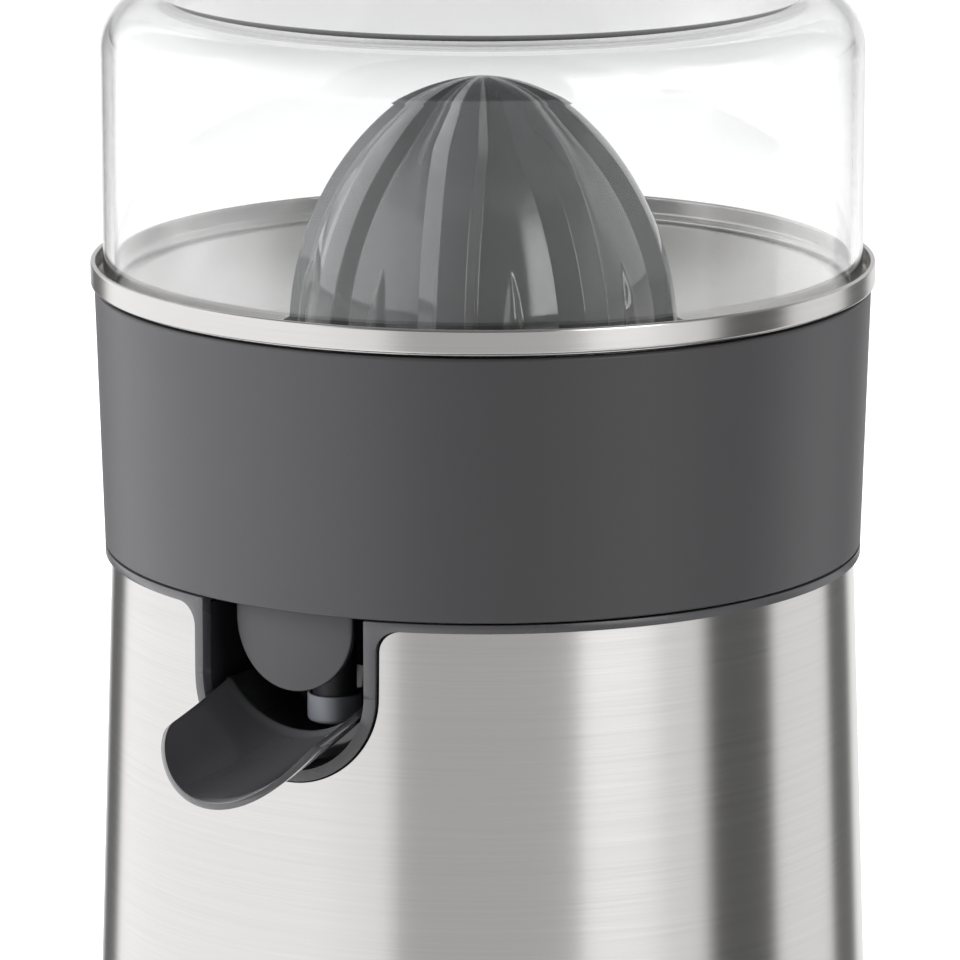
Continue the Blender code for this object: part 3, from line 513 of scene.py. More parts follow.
def reamer_envelope(height):
    """Radius over the crowns of the ribs."""
    share = max(0.0, (height - REAMER_LOW.z) / (REAMER_HIGH.z - REAMER_LOW.z))
    return (40.6 - 0.15) * MM * max(0.0, 1 - share ** 2.1) ** 0.62


def rib_section(flute):
    """A rib's section as (distance round the cone, height over the flute), both in metres."""
    outline = [(-CROWN - SLOPE - 2 * MM, 0), (-CROWN - SLOPE, 0), (-CROWN, flute), (0, flute + 0.1 * MM),
               (CROWN, flute), (CROWN + CUTTING, 0), (CROWN + CUTTING + 1.4 * MM, 0)]
    return fillet(outline, 0.55 * MM, closed=False, steps=4)


def short_rib(offset, height):
    """Height of the short pointed rib at an offset from its ridge."""
    rise = (SHORT_TOP - height) / (9.5 * MM)
    if rise <= 0:
        return 0.0
    half = SHORT_HALF * min(1.15, rise ** 0.65)
    share = abs(offset) / half
    if share >= 1:
        return 0.0
    return SHORT_RISE * min(1.0, 1.7 * rise) * (1 - share) * (1 - 0.35 * (1 - share) ** 3)


def reamer_level(height, ribs, section, flute):
    """One level of the cone as (angle, radius) points, the same number at every level."""
    crown = reamer_envelope(height)
    depth = min(flute, crown * 0.13)
    pitch = 2 * math.pi / ribs
    width = section[-1][0] - section[0][0]
    turn = min(1 / crown, 0.86 * pitch / width)
    points = [(place * turn, crown - depth + rise * depth / flute) for place, rise in section]
    start, end = points[-1][0], points[0][0] + pitch
    middle = min(max(SHORT_PLACE * pitch, start + 0.2 * (end - start)), end - 0.2 * (end - start))
    half = min(SHORT_HALF * 1.15 / crown, 0.18 * (end - start))
    stops = [start + (middle - half - start) * i / 8 for i in range(1, 8)]
    stops += [middle - half + 2 * half * i / 16 for i in range(17)]
    stops += [middle + half + (end - middle - half) * i / 8 for i in range(1, 8)]
    for angle in stops:
        share = (angle - start) / (end - start)
        hollow = 2.2 * depth / flute * share * (1 - share) * 0.4 * MM
        points.append((angle, crown - depth - hollow + short_rib((angle - middle) * crown, height)))
    return [(RIB_PHASE + pitch * rib + angle, radius) for rib in range(ribs) for angle, radius in points]


def build_reamer():
    """The cone: ribs with flat crowns that meet at the tip, flutes, and a short rib in each flute."""
    ribs, flute, rows = sizes().ribs, sizes().flute, 120
    section = rib_section(flute)
    span = REAMER_HIGH.z - SKIRT_FOOT
    levels = []
    for row in range(1, rows + 1):
        height = REAMER_HIGH.z - span * (row / rows) ** 1.5
        level = reamer_level(height, ribs, section, flute)
        levels.append([(angle, radius, height) for angle, radius in level])
    spokes = [angle for angle, radius, height in levels[-1]]
    under = at_groove((38.0, -11.6), (36.0, -11.6), (35.4, -11.0), (31.0, 6.0), (22.0, 19.5), (20.0, 20.0),
                      (10.0, 20.0), (9.6, 19.4), (9.6, -12.0), (9.0, -12.6), (6.9, -12.6), (6.4, -12.0),
                      (6.4, 8.5), (5.8, 9.0))
    levels += [[(angle, radius, height) for angle in spokes] for radius, height in under]
    bm = bmesh.new()
    loops = [[bm.verts.new((radius * math.cos(angle), radius * math.sin(angle), height))
              for angle, radius, height in level] for level in levels]
    weave_rings(bm, loops)
    for loop, height in ((loops[0], REAMER_HIGH.z), (loops[-1], under[-1][1])):
        pole = bm.verts.new((0, 0, height))
        for i in range(len(loop)):
            bm.faces.new((pole, loop[i], loop[(i + 1) % len(loop)]))
    item = to_object("reamer_cone", bm, 60)
    hand_in(item, "reamer", ["reamer"], FINISHES["reamer"])


def build_pan():
    """The dished steel pan with its rolled rim and two ledges."""
    outline = at_groove((80.8, 0.5), (80.8, 5.4), (79.7, 5.4), (79.7, 1.9), (78.5, 0.6), (73.0, 0.5))
    dish = at_groove((70.0, -0.7), (66.0, -2.6), (60.0, -5.2), (54.0, -7.4), (48.0, -9.4), (44.0, -10.4))
    inner = at_groove((43.4, -13.4), (40.5, -13.5), (40.5, -14.4), (44.3, -14.3), (44.9, -11.4))
    under = at_groove((48.3, -10.4), (54.2, -8.4), (60.3, -6.2), (66.3, -3.6), (70.4, -1.6))
    outer = at_groove((70.4, -0.9), (77.7, -0.9), (77.7, -0.2), (79.2, -0.2), (79.4, 0.5))
    item = turned("steel_pan_dished", fillet(outline + dish + inner + under + outer, 0.55 * MM))
    hand_in(item, "pan", ["steel_pan"], FINISHES["pan steel"])


def build_strainer():
    """The strainer: an inner and an outer ring with radial bars between them."""
    outer = at_groove((43.0, -13.2), (43.0, -11.9), (41.8, -11.9), (41.5, -12.75), (39.4, -12.9),
                      (38.8, -15.3), (36.0, -15.5), (36.0, -17.2), (39.6, -17.0), (40.1, -13.2))
    inner = at_groove((17.0, -17.0), (12.4, -17.3), (10.4, -17.3), (10.4, -18.9), (12.0, -18.9),
                      (17.0, -18.6))
    rim = turned("strainer_rim", fillet(outer, 0.3 * MM))
    hub = turned("strainer_hub", fillet(inner, 0.3 * MM))
    hand_in(rim, "strainer", ["strainer"], FINISHES["reamer"])
    hand_in(hub, "strainer", ["strainer"], FINISHES["reamer"])
    bar = bmesh.new()
    for x, z in at_groove((17.0, -17.0), (36.0, -15.5), (36.0, -17.2), (17.0, -18.6)):
        bar.verts.new((x, -0.6 * MM, z))
    face = bar.faces.new(bar.verts)
    moved = bmesh.ops.extrude_face_region(bar, geom=[face])["geom"]
    bmesh.ops.translate(bar, verts=[v for v in moved if isinstance(v, bmesh.types.BMVert)],
                        vec=(0, 1.2 * MM, 0))
    template = to_object("bar_template", bar, 30)
    bars = ring_of_copies("strainer_bars", template, sizes().strainer_bars, 0.0, 0.0, FINISHES["reamer"])
    hand_in(bars, "strainer", ["strainer"], FINISHES["reamer"])


def tongue_sheet(half_width, rows, round_from, end, columns, to_place):
    """A strip whose far end is rounded in plan: straight rows, then a half disc of spokes."""
    bm = bmesh.new()
    straight = []
    for row in rows:
        straight.append([bm.verts.new(to_place(half_width * j / columns, row))
                         for j in range(-columns, columns + 1)])
    for near, far in zip(straight, straight[1:]):
        for i in range(2 * columns):
            bm.faces.new((near[i], near[i + 1], far[i + 1], far[i]))
    last = straight[-1]
    hub = last[columns]
    spokes = [list(reversed(last[:columns]))]
    count = 3 * columns
    for k in range(1, count):
        angle = math.pi * (1 - k / count)
        across, along = half_width * math.cos(angle), (end - round_from) * math.sin(angle)
        spokes.append([bm.verts.new(to_place(across * j / columns, round_from + along * j / columns))
                       for j in range(1, columns + 1)])
    spokes.append(last[columns + 1:])
    for near, far in zip(spokes, spokes[1:]):
        bm.faces.new((hub, near[0], far[0]))
        for i in range(columns - 1):
            bm.faces.new((near[i], near[i + 1], far[i + 1], far[i]))
    return bm


def build_collector():
    """The juice collector: banded skirt, bowl and chimney, apron, outlet tube and its soft tip."""
    outline = at_groove((80.0, -0.5), (78.1, -0.5), (78.1, -1.2), (71.2, -1.2), (71.0, -29.0),
                        (68.0, -33.4), (58.0, -33.8), (16.0, -30.0), (13.2, -27.0), (12.7, -20.2),
                        (10.7, -20.2), (10.7, -32.2), (16.0, -32.4), (58.0, -36.2), (69.5, -35.8),
                        (73.2, -31.0), (73.2, -3.6), (77.3, -3.6), (76.0, -53.9), (78.4, -53.9))
    hand_in(turned("collector_bowl", fillet(outline, 0.6 * MM)), "collector", ["juice_collector"],
            FINISHES["band"])
    outer = 73.05 * MM
    low = COLLECTOR_HIGH.z + 0.5 * MM - 71.5 * MM
    round_from = low + 13.8 * MM

    def on_wall(x, z):
        return Vector((x, -math.sqrt(outer ** 2 - x ** 2), z))

    rows = [GROOVE - 31 * MM + (round_from - GROOVE + 31 * MM) * i / 10 for i in range(11)]
    bm = tongue_sheet(13.8 * MM, rows, round_from, low, 14, on_wall)
    apron = to_object("outlet_apron", bm)
    face_outwards(apron)
    make_plain(soften(thicken(apron, 1.9 * MM), sizes().edge))
    hand_in(apron, "collector", ["juice_collector"], FINISHES["band"])
    middle = ((NOZZLE_LOW.x + NOZZLE_HIGH.x) / 2, (NOZZLE_LOW.y + NOZZLE_HIGH.y) / 2)
    foot = NOZZLE_LOW.z
    tube = [(3.4 * MM, foot + 2.2 * MM), (4.5 * MM, foot + 2.2 * MM), (4.5 * MM, GROOVE - 35 * MM),
            (3.4 * MM, GROOVE - 35 * MM)]
    hand_in(turned("outlet_tube", fillet(tube, 0.2 * MM), centre=middle, steps=64), "collector",
            ["juice_collector"], FINISHES["niche"])
    tip = [(3.4 * MM, foot), (5.5 * MM, foot), (5.5 * MM, foot + 5.7 * MM), (4.8 * MM, foot + 5.7 * MM),
           (4.8 * MM, foot + 1.9 * MM), (3.4 * MM, foot + 1.9 * MM)]
    hand_in(turned("outlet_tip", fillet(tip, 1.1 * MM), centre=middle, steps=64), "collector",
                   ["nozzle_tip"], FINISHES["nozzle"])


def face_outwards(item):
    """Turns an open sheet so that its faces look away from the axis, or up where it lies flat."""
    bm = bmesh.new()
    bm.from_mesh(item.data)
    bm.normal_update()
    tilt = sum((face.normal.dot(Vector((face.calc_center_median().x, face.calc_center_median().y, 0)))
                + 0.02 * face.normal.z) * face.calc_area() for face in bm.faces)
    if tilt < 0:
        bmesh.ops.reverse_faces(bm, faces=bm.faces)
    bm.to_mesh(item.data)
    bm.free()
    return item


# --- Spout ----------------------------------------------------------------------------------

def trough_height(x, reach, drop=0.0):
    """Height of the trough's surface at a place across and at a distance from the axis."""
    bore, root = 20.2 * MM, 70 * MM
    run = max(reach, root) - root
    centre = GROOVE - 60.5 * MM - 0.29 * run + 2.4 * run * run
    return centre - math.sqrt(bore * bore - x * x) - drop


def build_spout():
    """The open trough: a catching cup at the back, a stepped edge and a rounded lip."""
    half, round_from = 16.9 * MM, 89.7 * MM
    tip = -SPOUT_LOW.y
    rim = trough_height(half, 70 * MM)
    drops = [(47.4, None), (48.4, 3.9), (50.0, 3.9), (55.0, 3.9), (60.0, 3.9), (65.0, 3.9), (68.8, 3.9),
             (69.3, -0.5), (69.9, -0.6), (70.5, -0.45), (71.0, 0.0)]
    drops += [(71.0 + (89.7 - 71.0) * i / 16, 0.0) for i in range(1, 17)]
    by_reach = {round(reach, 4): drop for reach, drop in drops}

    def on_trough(x, reach):
        drop = by_reach.get(round(reach / MM, 4), 0.0)
        height = rim if drop is None else trough_height(x, reach, drop * MM)
        if drop and abs(x) > half * 0.999:
            height = rim
        return Vector((x, -reach, height))

    rows = [reach * MM for reach, drop in drops]
    bm = tongue_sheet(half, rows, round_from, tip - 0.1 * MM, 26, on_trough)
    item = to_object("spout_trough", bm)
    if item.data.polygons[len(item.data.polygons) // 2].normal.z < 0:
        item.data.flip_normals()
    make_plain(soften(thicken(item, 1.3 * MM), sizes().edge, 3, 50))
    item.visible_glossy = False
    hand_in(item, "spout", ["spout"], FINISHES["spout"])
    middle = (0, -49 * MM, GROOVE - 77 * MM)
    for side in (-1, 1):
        pin = turned(f"spout_pivot_{'left' if side < 0 else 'right'}",
                     fillet([(0, 16.0 * MM), (1.6 * MM, 16.0 * MM), (1.6 * MM, 21.6 * MM), (0, 21.6 * MM)],
                            0.3 * MM, closed=False), closed=False, steps=32)
        pin.data.transform(Matrix.Translation(middle) @ Matrix.Rotation(side * math.pi / 2, 4, "Y"))
        hand_in(pin, "spout", ["spout"], FINISHES["spout"])


# --- Base -----------------------------------------------------------------------------------

COLLAR_FOOT = GROOVE - 55.9 * MM
FRAME_HALF, FRAME_WIDTH, FRAME_CORNER, FRAME_FILLET = 21.4 * MM, 2.3 * MM, 18.5 * MM, 4.6 * MM


def frame_edge(half, corner, foot, steps):
    """The right half of a U's outline, from the middle of its foot to where its side is upright."""
    flat = half - corner
    points = [(flat * i / 4, foot) for i in range(4)]
    return points + arc((flat, foot + corner), corner, 270, 360, steps)


def round_ring(start, steps):
    """Directions from one side of the niche round the back to the other."""
    return [start + 2 * (math.pi - start) * i / steps for i in range(steps + 1)]


def build_collar():
    """The collar ring, which turns down into the surround of the spout's niche."""
    top, foot = COLLAR_HIGH.z, COLLAR_LOW.z
    radius, depth = COLLAR_HIGH.x, 2.2 * MM
    half = FRAME_HALF - FRAME_WIDTH
    bend_x, bend_z = FRAME_HALF + FRAME_FILLET, COLLAR_FOOT - FRAME_FILLET
    outer = frame_edge(FRAME_HALF, FRAME_CORNER, foot, 20)
    inner = frame_edge(half, FRAME_CORNER - FRAME_WIDTH, foot + FRAME_WIDTH, 20)
    for edge, x in ((outer, FRAME_HALF), (inner, half)):
        low = edge[-2][1]
        edge += [(x, low + (bend_z - low) * i / 8) for i in range(1, 9)]
    outer += arc((bend_x, bend_z), FRAME_FILLET, 180, 90, 12)[1:]
    inner += [(half, bend_z + (top - bend_z) * i / 6) for i in range(1, 7)]
    inner += [(half + (bend_x - half) * i / 6, top) for i in range(1, 7)]
    right = [[(math.asin(x / radius), z) for x, z in pair] for pair in zip(outer, inner)]
    back = [[(turn, COLLAR_FOOT), (turn, top)] for turn in round_ring(right[-1][0][0], 160)[1:-1]]
    left = [[(-turn, z) for turn, z in pair] for pair in reversed(right[1:])]
    bm = bmesh.new()

    def vertex(turn, z, at):
        return bm.verts.new((at * math.sin(turn), -at * math.cos(turn), z))

    loops = [[vertex(*low, radius), vertex(*high, radius), vertex(*high, radius - depth),
              vertex(*low, radius - depth)] for low, high in right + back + left]
    weave_rings(bm, loops + [loops[0]])
    item = to_object("collar_and_surround", bm, 50)
    make_plain(soften(item, 0.3 * MM, 3, 50))
    hand_in(item, "base", ["base_collar"], FINISHES["trim"])
    ledge = [(radius - depth - 0.1 * MM, COLLAR_FOOT), (radius - depth - 0.1 * MM, top - 0.3 * MM),
             (radius - 8.4 * MM, top - 0.3 * MM), (radius - 8.4 * MM, COLLAR_FOOT)]
    half_turn = math.asin((half + 1 * MM) / (radius - 8 * MM))
    bm = bmesh.new()
    ledge = fillet(ledge, 0.2 * MM)
    loops = [[vertex(turn, z, at) for at, z in ledge] for turn in round_ring(half_turn, 180)]
    weave_rings(bm, loops)
    bm.faces.new(loops[0])
    bm.faces.new(list(reversed(loops[-1])))
    hand_in(to_object("collar_ledge", bm, 40), "base", ["base_collar"], FINISHES["trim"])


def shell_radius(height):
    share = (height - SHELL_LOW.z) / (SHELL_HIGH.z - SHELL_LOW.z)
    return SHELL_HIGH.x + (77.0 * MM - SHELL_HIGH.x) * share


def build_shell():
    """The steel shell: one rolled sheet, notched for the spout's surround."""
    gap = 0.3 * MM
    half, corner = FRAME_HALF + gap, FRAME_CORNER + gap
    foot = COLLAR_LOW.z - gap
    corner_top = foot + corner
    fillet_centre = (FRAME_HALF + FRAME_FILLET, COLLAR_FOOT - FRAME_FILLET)
    notch = [(x, z, z) for x, z in frame_edge(half, corner, foot, 24)]
    notch.append((half, corner_top, fillet_centre[1]))
    notch += [(x, corner_top, min(SHELL_HIGH.z, z))
              for x, z in arc(fillet_centre, FRAME_FILLET - gap, 180, 90, 10)[1:]]
    middle_radius = shell_radius(corner_top)
    right = [(math.asin(x / middle_radius), low, high) for x, low, high in notch]
    back = [(turn, corner_top, SHELL_HIGH.z) for turn in round_ring(right[-1][0], 200)[1:-1]]
    columns = right + back + [(-turn, low, high) for turn, low, high in reversed(right[1:])]
    bm = bmesh.new()

    def column(turn, low, high, rows):
        points = []
        for i in range(rows + 1):
            height = low + (high - low) * i / rows
            radius = shell_radius(height)
            points.append(bm.verts.new((radius * math.sin(turn), -radius * math.cos(turn), height)))
        return points

    lower = [column(turn, SHELL_LOW.z, low, 8) for turn, low, high in columns]
    weave_rings(bm, lower + [lower[0]], wrap=False)
    upper = [column(turn, low, high, 4) if high - low > 0.1 * MM else None for turn, low, high in columns]
    for near, far in zip(upper, upper[1:]):
        if near and far:
            weave_rings(bm, [near, far], wrap=False)
    item = to_object("steel_shell", bm)
    face_outwards(item)
    make_plain(thicken(item, sizes().sheet))
    hand_in(item, "base", ["base_shell"], FINISHES["shell steel"])


def build_inlet():
    """The grommet at the back, open where a cord would enter."""
    outline = [(0, 76.0), (6.9, 76.0), (6.9, 82.8), (9.0, 82.8), (9.0, 84.2), (8.0, 85.4), (3.6, 85.4),
               (3.6, 79.0), (0, 79.0)]
    outline = fillet([(r * MM, h * MM) for r, h in outline], 0.4 * MM, closed=False)
    item = turned("cord_inlet_grommet", outline, closed=False, steps=72)
    middle = (INLET_LOW.z + INLET_HIGH.z) / 2
    item.data.transform(Matrix.Translation((0, 0, middle)) @ Matrix.Rotation(-math.pi / 2, 4, "X"))
    hand_in(item, "base", ["cord_inlet"], FINISHES["rubber"])


def ring_of_copies(name, template, count, radius, start, material):
    """Copies a template round a circle with a node tree, and returns them as one plain mesh."""
    tree = bpy.data.node_groups.new(name + " ring", "GeometryNodeTree")
    face = tree.interface
    face.new_socket("Geometry", in_out="INPUT", socket_type="NodeSocketGeometry")
    values = {"Template": ("Object", template), "Count": ("Int", count), "Radius": ("Float", radius),
              "Start": ("Float", start), "Finish": ("Material", material)}
    keys = {label: face.new_socket(label, in_out="INPUT", socket_type=f"NodeSocket{kind}").identifier
            for label, (kind, value) in values.items()}
    face.new_socket("Geometry", in_out="OUTPUT", socket_type="NodeSocketGeometry")
    ring = Nodes(tree)
    source, sink = ring.add("NodeGroupInput"), ring.add("NodeGroupOutput")
    info, circle = ring.add("GeometryNodeObjectInfo"), ring.add("GeometryNodePoints")
    step = ring.maths("DIVIDE", 2 * math.pi, source.outputs["Count"])
    angle = ring.maths("MULTIPLY_ADD", ring.add("GeometryNodeInputIndex").outputs[0], step,
                       source.outputs["Start"])
    turn, spot = ring.add("ShaderNodeCombineXYZ"), ring.add("ShaderNodeCombineXYZ")
    across = ring.add("ShaderNodeVectorRotate", rotation_type="Z_AXIS")
    instances, realize = ring.add("GeometryNodeInstanceOnPoints"), ring.add("GeometryNodeRealizeInstances")
    paint = ring.add("GeometryNodeSetMaterial")
    for output, socket in (
            (source.outputs["Template"], info.inputs["Object"]),
            (source.outputs["Count"], circle.inputs["Count"]), (angle, turn.inputs["Z"]),
            (source.outputs["Radius"], spot.inputs["X"]), (spot.outputs[0], across.inputs["Vector"]),
            (angle, across.inputs["Angle"]), (across.outputs[0], circle.inputs["Position"]),
            (circle.outputs[0], instances.inputs["Points"]),
            (info.outputs["Geometry"], instances.inputs["Instance"]),
            (turn.outputs[0], instances.inputs["Rotation"]), (instances.outputs[0], realize.inputs[0]),
            (realize.outputs[0], paint.inputs["Geometry"]),
            (source.outputs["Finish"], paint.inputs["Material"]), (paint.outputs[0], sink.inputs[0])):
        ring.join(output, socket)
    item = link(name, bpy.data.meshes.new(name))
    modifier = item.modifiers.new("Ring", "NODES")
    modifier.node_group = tree
    for label, (kind, value) in values.items():
        modifier[keys[label]] = value
    make_plain(item)
    bpy.data.objects.remove(template, do_unlink=True)
    return item


def build_feet():
    """Four rubber feet with a shallow well."""
    outline = [(0, FOOT_LOW.z + 0.6 * MM), (4.6 * MM, FOOT_LOW.z + 0.6 * MM), (4.6 * MM, FOOT_LOW.z),
               (8 * MM, FOOT_LOW.z), (8 * MM, FOOT_HIGH.z), (0, FOOT_HIGH.z)]
    template = turned("foot_template", fillet(outline, 0.5 * MM, closed=False), closed=False, steps=64)
    radius = (FOOT_LOW.x + FOOT_HIGH.x) / 2
    feet = ring_of_copies("rubber_feet", template, 4, radius, 0.0, FINISHES["rubber"])
    hand_in(feet, "base", [f"foot_{n}" for n in range(1, 5)], FINISHES["rubber"])


def build_screws():
    """Four countersunk screws with a cross recess in each head."""
    low, high = SCREW_LOW.z, SCREW_HIGH.z
    outline = [(0, low), (3.6 * MM, low), (3.6 * MM, low + 1.3 * MM), (1.4 * MM, low + 1.3 * MM),
               (1.4 * MM, high - 1 * MM), (0, high)]
    template = turned("screw_template", fillet(outline, 0.25 * MM, closed=False), closed=False, steps=48,
                      smooth_angle=35)
    for turn in (0, math.pi / 2):
        slot = bmesh.new()
        bmesh.ops.create_cube(slot, size=1.0)
        bmesh.ops.scale(slot, verts=slot.verts, vec=(3.8 * MM, 0.8 * MM, 1.8 * MM))
        bmesh.ops.rotate(slot, verts=slot.verts, matrix=Matrix.Rotation(turn, 3, "Z"))
        bmesh.ops.translate(slot, verts=slot.verts, vec=(0, 0, low))
        cutter = to_object("recess", slot, 30)
        cut = template.modifiers.new("Recess", "BOOLEAN")
        cut.object = cutter
        make_plain(template)
        bpy.data.objects.remove(cutter, do_unlink=True)
    middle = (SCREW_LOW + SCREW_HIGH) / 2
    radius, start = math.hypot(middle.x, middle.y), math.atan2(middle.y, middle.x)
    screws = ring_of_copies("cover_screws", template, 4, radius, start, FINISHES["turned steel"])
    hand_in(screws, "base", [f"cover_screw_{n}" for n in range(1, 5)], FINISHES["turned steel"])


def build_interior():
    """Every inner piece: the frame's shape, merged, smoothed and given its finish."""
    for node, finish in INTERIOR.items():
        item = smooth_copy(node)
        hand_in(item, BODIES[node], [node], FINISHES[finish])


# --- Stage ----------------------------------------------------------------------------------

# Light levels round the studio, as (degrees from the viewer, level): below eye height and above it
LOW_ROUND = [(-180, 1.0), (-168, 1.0), (-163, 0.14), (-147, 0.14), (-142, 1.3), (-30, 1.2), (-23, 0.62),
             (28, 0.62), (32, 1.0), (69, 1.0), (74, 0.12), (97, 0.12), (101, 1.0), (129, 1.0), (134, 0.16),
             (150, 0.16), (157, 1.0), (180, 1.0)]
HIGH_ROUND = [(-180, 0.7), (-152, 0.7), (-144, 1.3), (-50, 1.3), (-36, 0.12), (27, 0.12), (29, 3.8),
              (52, 3.8), (55, 0.32), (104, 0.32), (112, 0.7), (180, 0.7)]
OVERHEAD = 0.24
BRIGHTEST = 5.0


def studio_world():
    """Soft studio surroundings: broad light panels with darker gaps between them."""
    world = bpy.data.worlds.new("studio")
    bpy.context.scene.world = world
    world.use_nodes = True
    sky = Nodes(world.node_tree)

    def blend(share, first, second):
        node = sky.add("ShaderNodeMix")
        sky.feed((node.inputs["Factor"], node.inputs["A"], node.inputs["B"]), (share, first, second))
        return node.outputs["Result"]

    def panels(share, stops):
        ramp = sky.add("ShaderNodeValToRGB")
        sky.join(share, ramp.inputs["Fac"])
        elements = ramp.color_ramp.elements
        ends = (elements[0], elements[1])
        for element, (degrees, level) in zip(ends, (stops[0], stops[-1])):
            element.color = (*[level / BRIGHTEST] * 3, 1)
        for degrees, level in stops[1:-1]:
            elements.new((degrees + 180) / 360).color = (*[level / BRIGHTEST] * 3, 1)
        return sky.maths("MULTIPLY", ramp.outputs["Color"], BRIGHTEST)

    spin = sky.add("ShaderNodeVectorRotate", rotation_type="Z_AXIS")
    spin.inputs["Angle"].default_value = -VIEW_AZIMUTH
    sky.join(sky.add("ShaderNodeTexCoord").outputs["Generated"], spin.inputs["Vector"])
    parts = sky.add("ShaderNodeSeparateXYZ")
    sky.join(spin.outputs[0], parts.inputs[0])
    turn = sky.maths("ARCTAN2", parts.outputs["X"], sky.maths("MULTIPLY", parts.outputs["Y"], -1.0))
    share = sky.maths("ADD", sky.maths("DIVIDE", turn, 2 * math.pi), 0.5)
    height = parts.outputs["Z"]
    overhead = sky.mapped(height, From_Min=0.52, From_Max=0.80)
    high = blend(overhead, panels(share, HIGH_ROUND), OVERHEAD)
    light = blend(sky.mapped(height, From_Min=-0.03, From_Max=0.05), panels(share, LOW_ROUND), high)
    path = sky.add("ShaderNodeLightPath")
    bounced = sky.maths("ADD", path.outputs["Glossy Depth"], path.outputs["Diffuse Depth"])
    straight = sky.maths("MULTIPLY", path.outputs["Is Transmission Ray"],
                         sky.maths("LESS_THAN", bounced, 0.5))
    seen = sky.maths("MAXIMUM", path.outputs["Is Camera Ray"], straight)
    ground = sky.tree.nodes["Background"]
    ground.inputs["Color"].default_value = (1, 1, 1, 1)
    sky.join(blend(seen, light, 1.0), ground.inputs["Strength"])


def build_floor():
    """A plain pale floor under the feet."""
    bm = bmesh.new()
    bmesh.ops.create_circle(bm, cap_ends=True, segments=96, radius=9.0)
    bmesh.ops.translate(bm, verts=bm.verts, vec=(0, 0, CAD_BOX[0][2]))
    floor = to_object("floor", bm)
    pale = (0.92, 0.92, 0.92)
    finish = Finish("pale floor", pale, 0.6, Emission_Color=(1, 1, 1, 1), Emission_Strength=0.32)
    finish.shade(finish.noise(finish.place, 3.0), pale, 0.99, 1.01)
    floor.data.materials.append(finish.material)
    floor.visible_glossy = False


def build_lights():
    """A large soft light from the left and a weaker one from behind on the right."""
    for name, turn, height, reach, size, watts in (("key", -84, 0.6, 1.4, 0.9, 55.0),
                                                   ("rim", 108, 0.6, 1.5, 0.8, 32.0)):
        data = bpy.data.lights.new(name, "AREA")
        data.size = size
        data.energy = watts
        light = link(name, data)
        angle = VIEW_AZIMUTH + math.radians(turn)
        light.location = (reach * math.sin(angle), -reach * math.cos(angle), height)
        light.rotation_euler = (Vector((0, 0, 0.15)) - light.location).to_track_quat("-Z", "Y").to_euler()
        light.visible_glossy = False
        light.visible_transmission = False


def build_camera():
    """A long lens, looking down a little on the groove between pan and band."""
    data = bpy.data.cameras.new("camera")
    data.sensor_width = 36.0
    data.lens = 247.3
    data.shift_x = -0.0030
    data.clip_end = 30.0
    camera = link("camera", data)
    reach, rise, pitch = 1337.3 * MM, 252.2 * MM, 0.2166
    camera.location = (reach * math.sin(VIEW_AZIMUTH), -reach * math.cos(VIEW_AZIMUTH), GROOVE + rise)
    camera.rotation_euler = (math.pi / 2 - pitch, 0, VIEW_AZIMUTH)
    bpy.context.scene.camera = camera


# --- Operators and panel --------------------------------------------------------------------

class Builds:
    """Runs the builders that an operator lists."""
    builders = ()

    def execute(self, context):
        for build in self.builders:
            build()
        return {"FINISHED"}


class PRESS_OT_cover(Builds, bpy.types.Operator):
    """Build the clear cover"""
    bl_idname = "press.cover"
    bl_label = "Clear cover"
    builders = (build_cover,)


class PRESS_OT_reamer(Builds, bpy.types.Operator):
    """Build the ribbed reamer"""
    bl_idname = "press.reamer"
    bl_label = "Reamer"
    builders = (build_reamer,)


class PRESS_OT_pan(Builds, bpy.types.Operator):
    """Build the steel pan and its strainer"""
    bl_idname = "press.pan"
    bl_label = "Pan and strainer"
    builders = (build_pan, build_strainer)


class PRESS_OT_collector(Builds, bpy.types.Operator):
    """Build the juice collector with its apron, outlet tube and soft tip"""
    bl_idname = "press.collector"
    bl_label = "Juice collector"
    builders = (build_collector,)


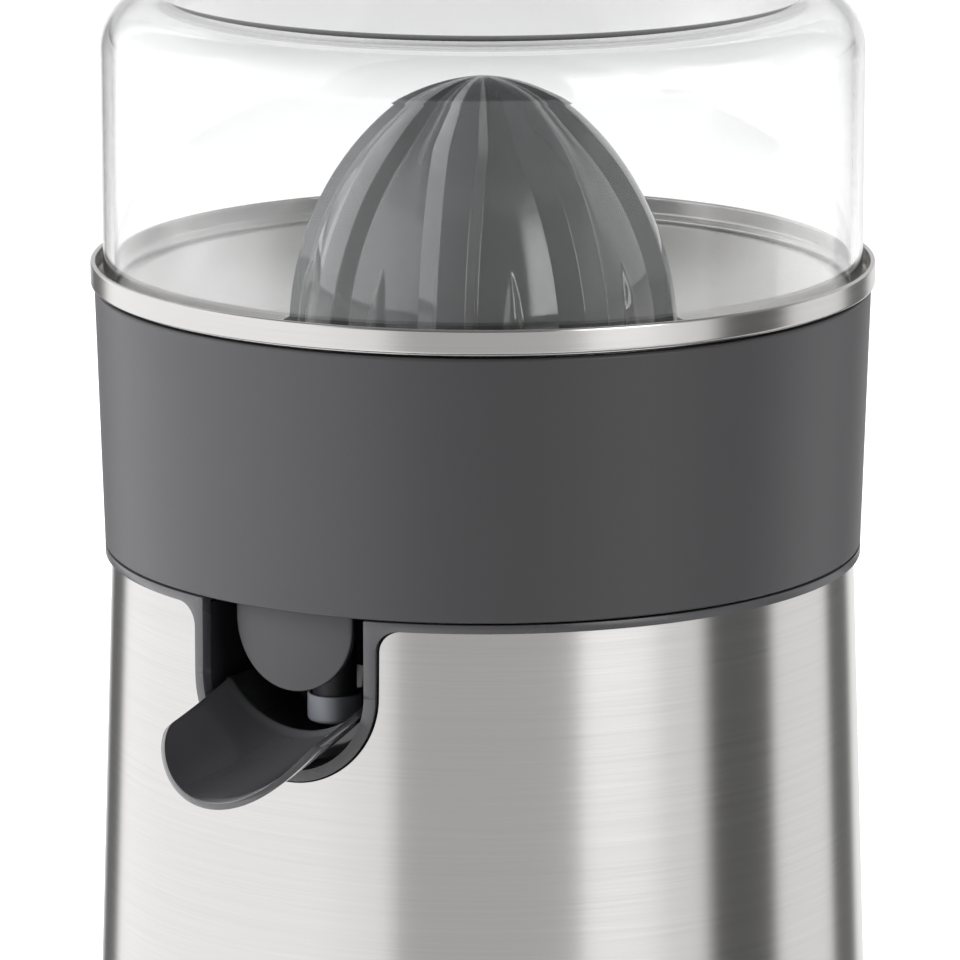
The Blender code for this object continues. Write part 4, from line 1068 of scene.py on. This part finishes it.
class PRESS_OT_spout(Builds, bpy.types.Operator):
    """Build the spout and its pivots"""
    bl_idname = "press.spout"
    bl_label = "Spout"
    builders = (build_spout,)


class PRESS_OT_base(Builds, bpy.types.Operator):
    """Build the collar, the steel shell, the cord inlet, the feet and the screws"""
    bl_idname = "press.base"
    bl_label = "Base"
    builders = (build_collar, build_shell, build_inlet, build_feet, build_screws)


class PRESS_OT_interior(Builds, bpy.types.Operator):
    """Finish the motor deck, the drive and the other inner pieces"""
    bl_idname = "press.interior"
    bl_label = "Inner pieces"
    builders = (build_interior,)


class PRESS_OT_stage(Builds, bpy.types.Operator):
    """Build the floor, the lights, the surroundings and the camera"""
    bl_idname = "press.stage"
    bl_label = "Stage"
    builders = (build_floor, studio_world, build_lights, build_camera)


OPERATORS = (PRESS_OT_stage, PRESS_OT_cover, PRESS_OT_reamer, PRESS_OT_pan, PRESS_OT_collector,
             PRESS_OT_spout, PRESS_OT_base, PRESS_OT_interior)


class PRESS_PT_panel(bpy.types.Panel):
    """Sizes, colours and one button for each group of pieces"""
    bl_idname = "PRESS_PT_panel"
    bl_label = "Citrus press"
    bl_space_type = "VIEW_3D"
    bl_region_type = "UI"
    bl_category = "Citrus press"

    def draw(self, context):
        for group in (context.scene.press_sizes, context.scene.press_colours):
            for name in group.bl_rna.properties.keys():
                if name not in ("rna_type", "name"):
                    self.layout.prop(group, name)
        for operator in OPERATORS:
            self.layout.operator(operator.bl_idname)


CLASSES = (PressSizes, PressColours, *OPERATORS, PRESS_PT_panel)


def register():
    for item in CLASSES:
        bpy.utils.register_class(item)
    bpy.types.Scene.press_sizes = PointerProperty(type=PressSizes)
    bpy.types.Scene.press_colours = PointerProperty(type=PressColours)


def unregister():
    del bpy.types.Scene.press_colours
    del bpy.types.Scene.press_sizes
    for item in reversed(CLASSES):
        bpy.utils.unregister_class(item)


def main():
    register()
    bpy.context.scene.view_settings.view_transform = "Standard"
    FINISHES.update(make_finishes())
    for operator in OPERATORS:
        getattr(bpy.ops.press, operator.bl_idname.split(".")[1])()


if __name__ == "__main__":
    main()
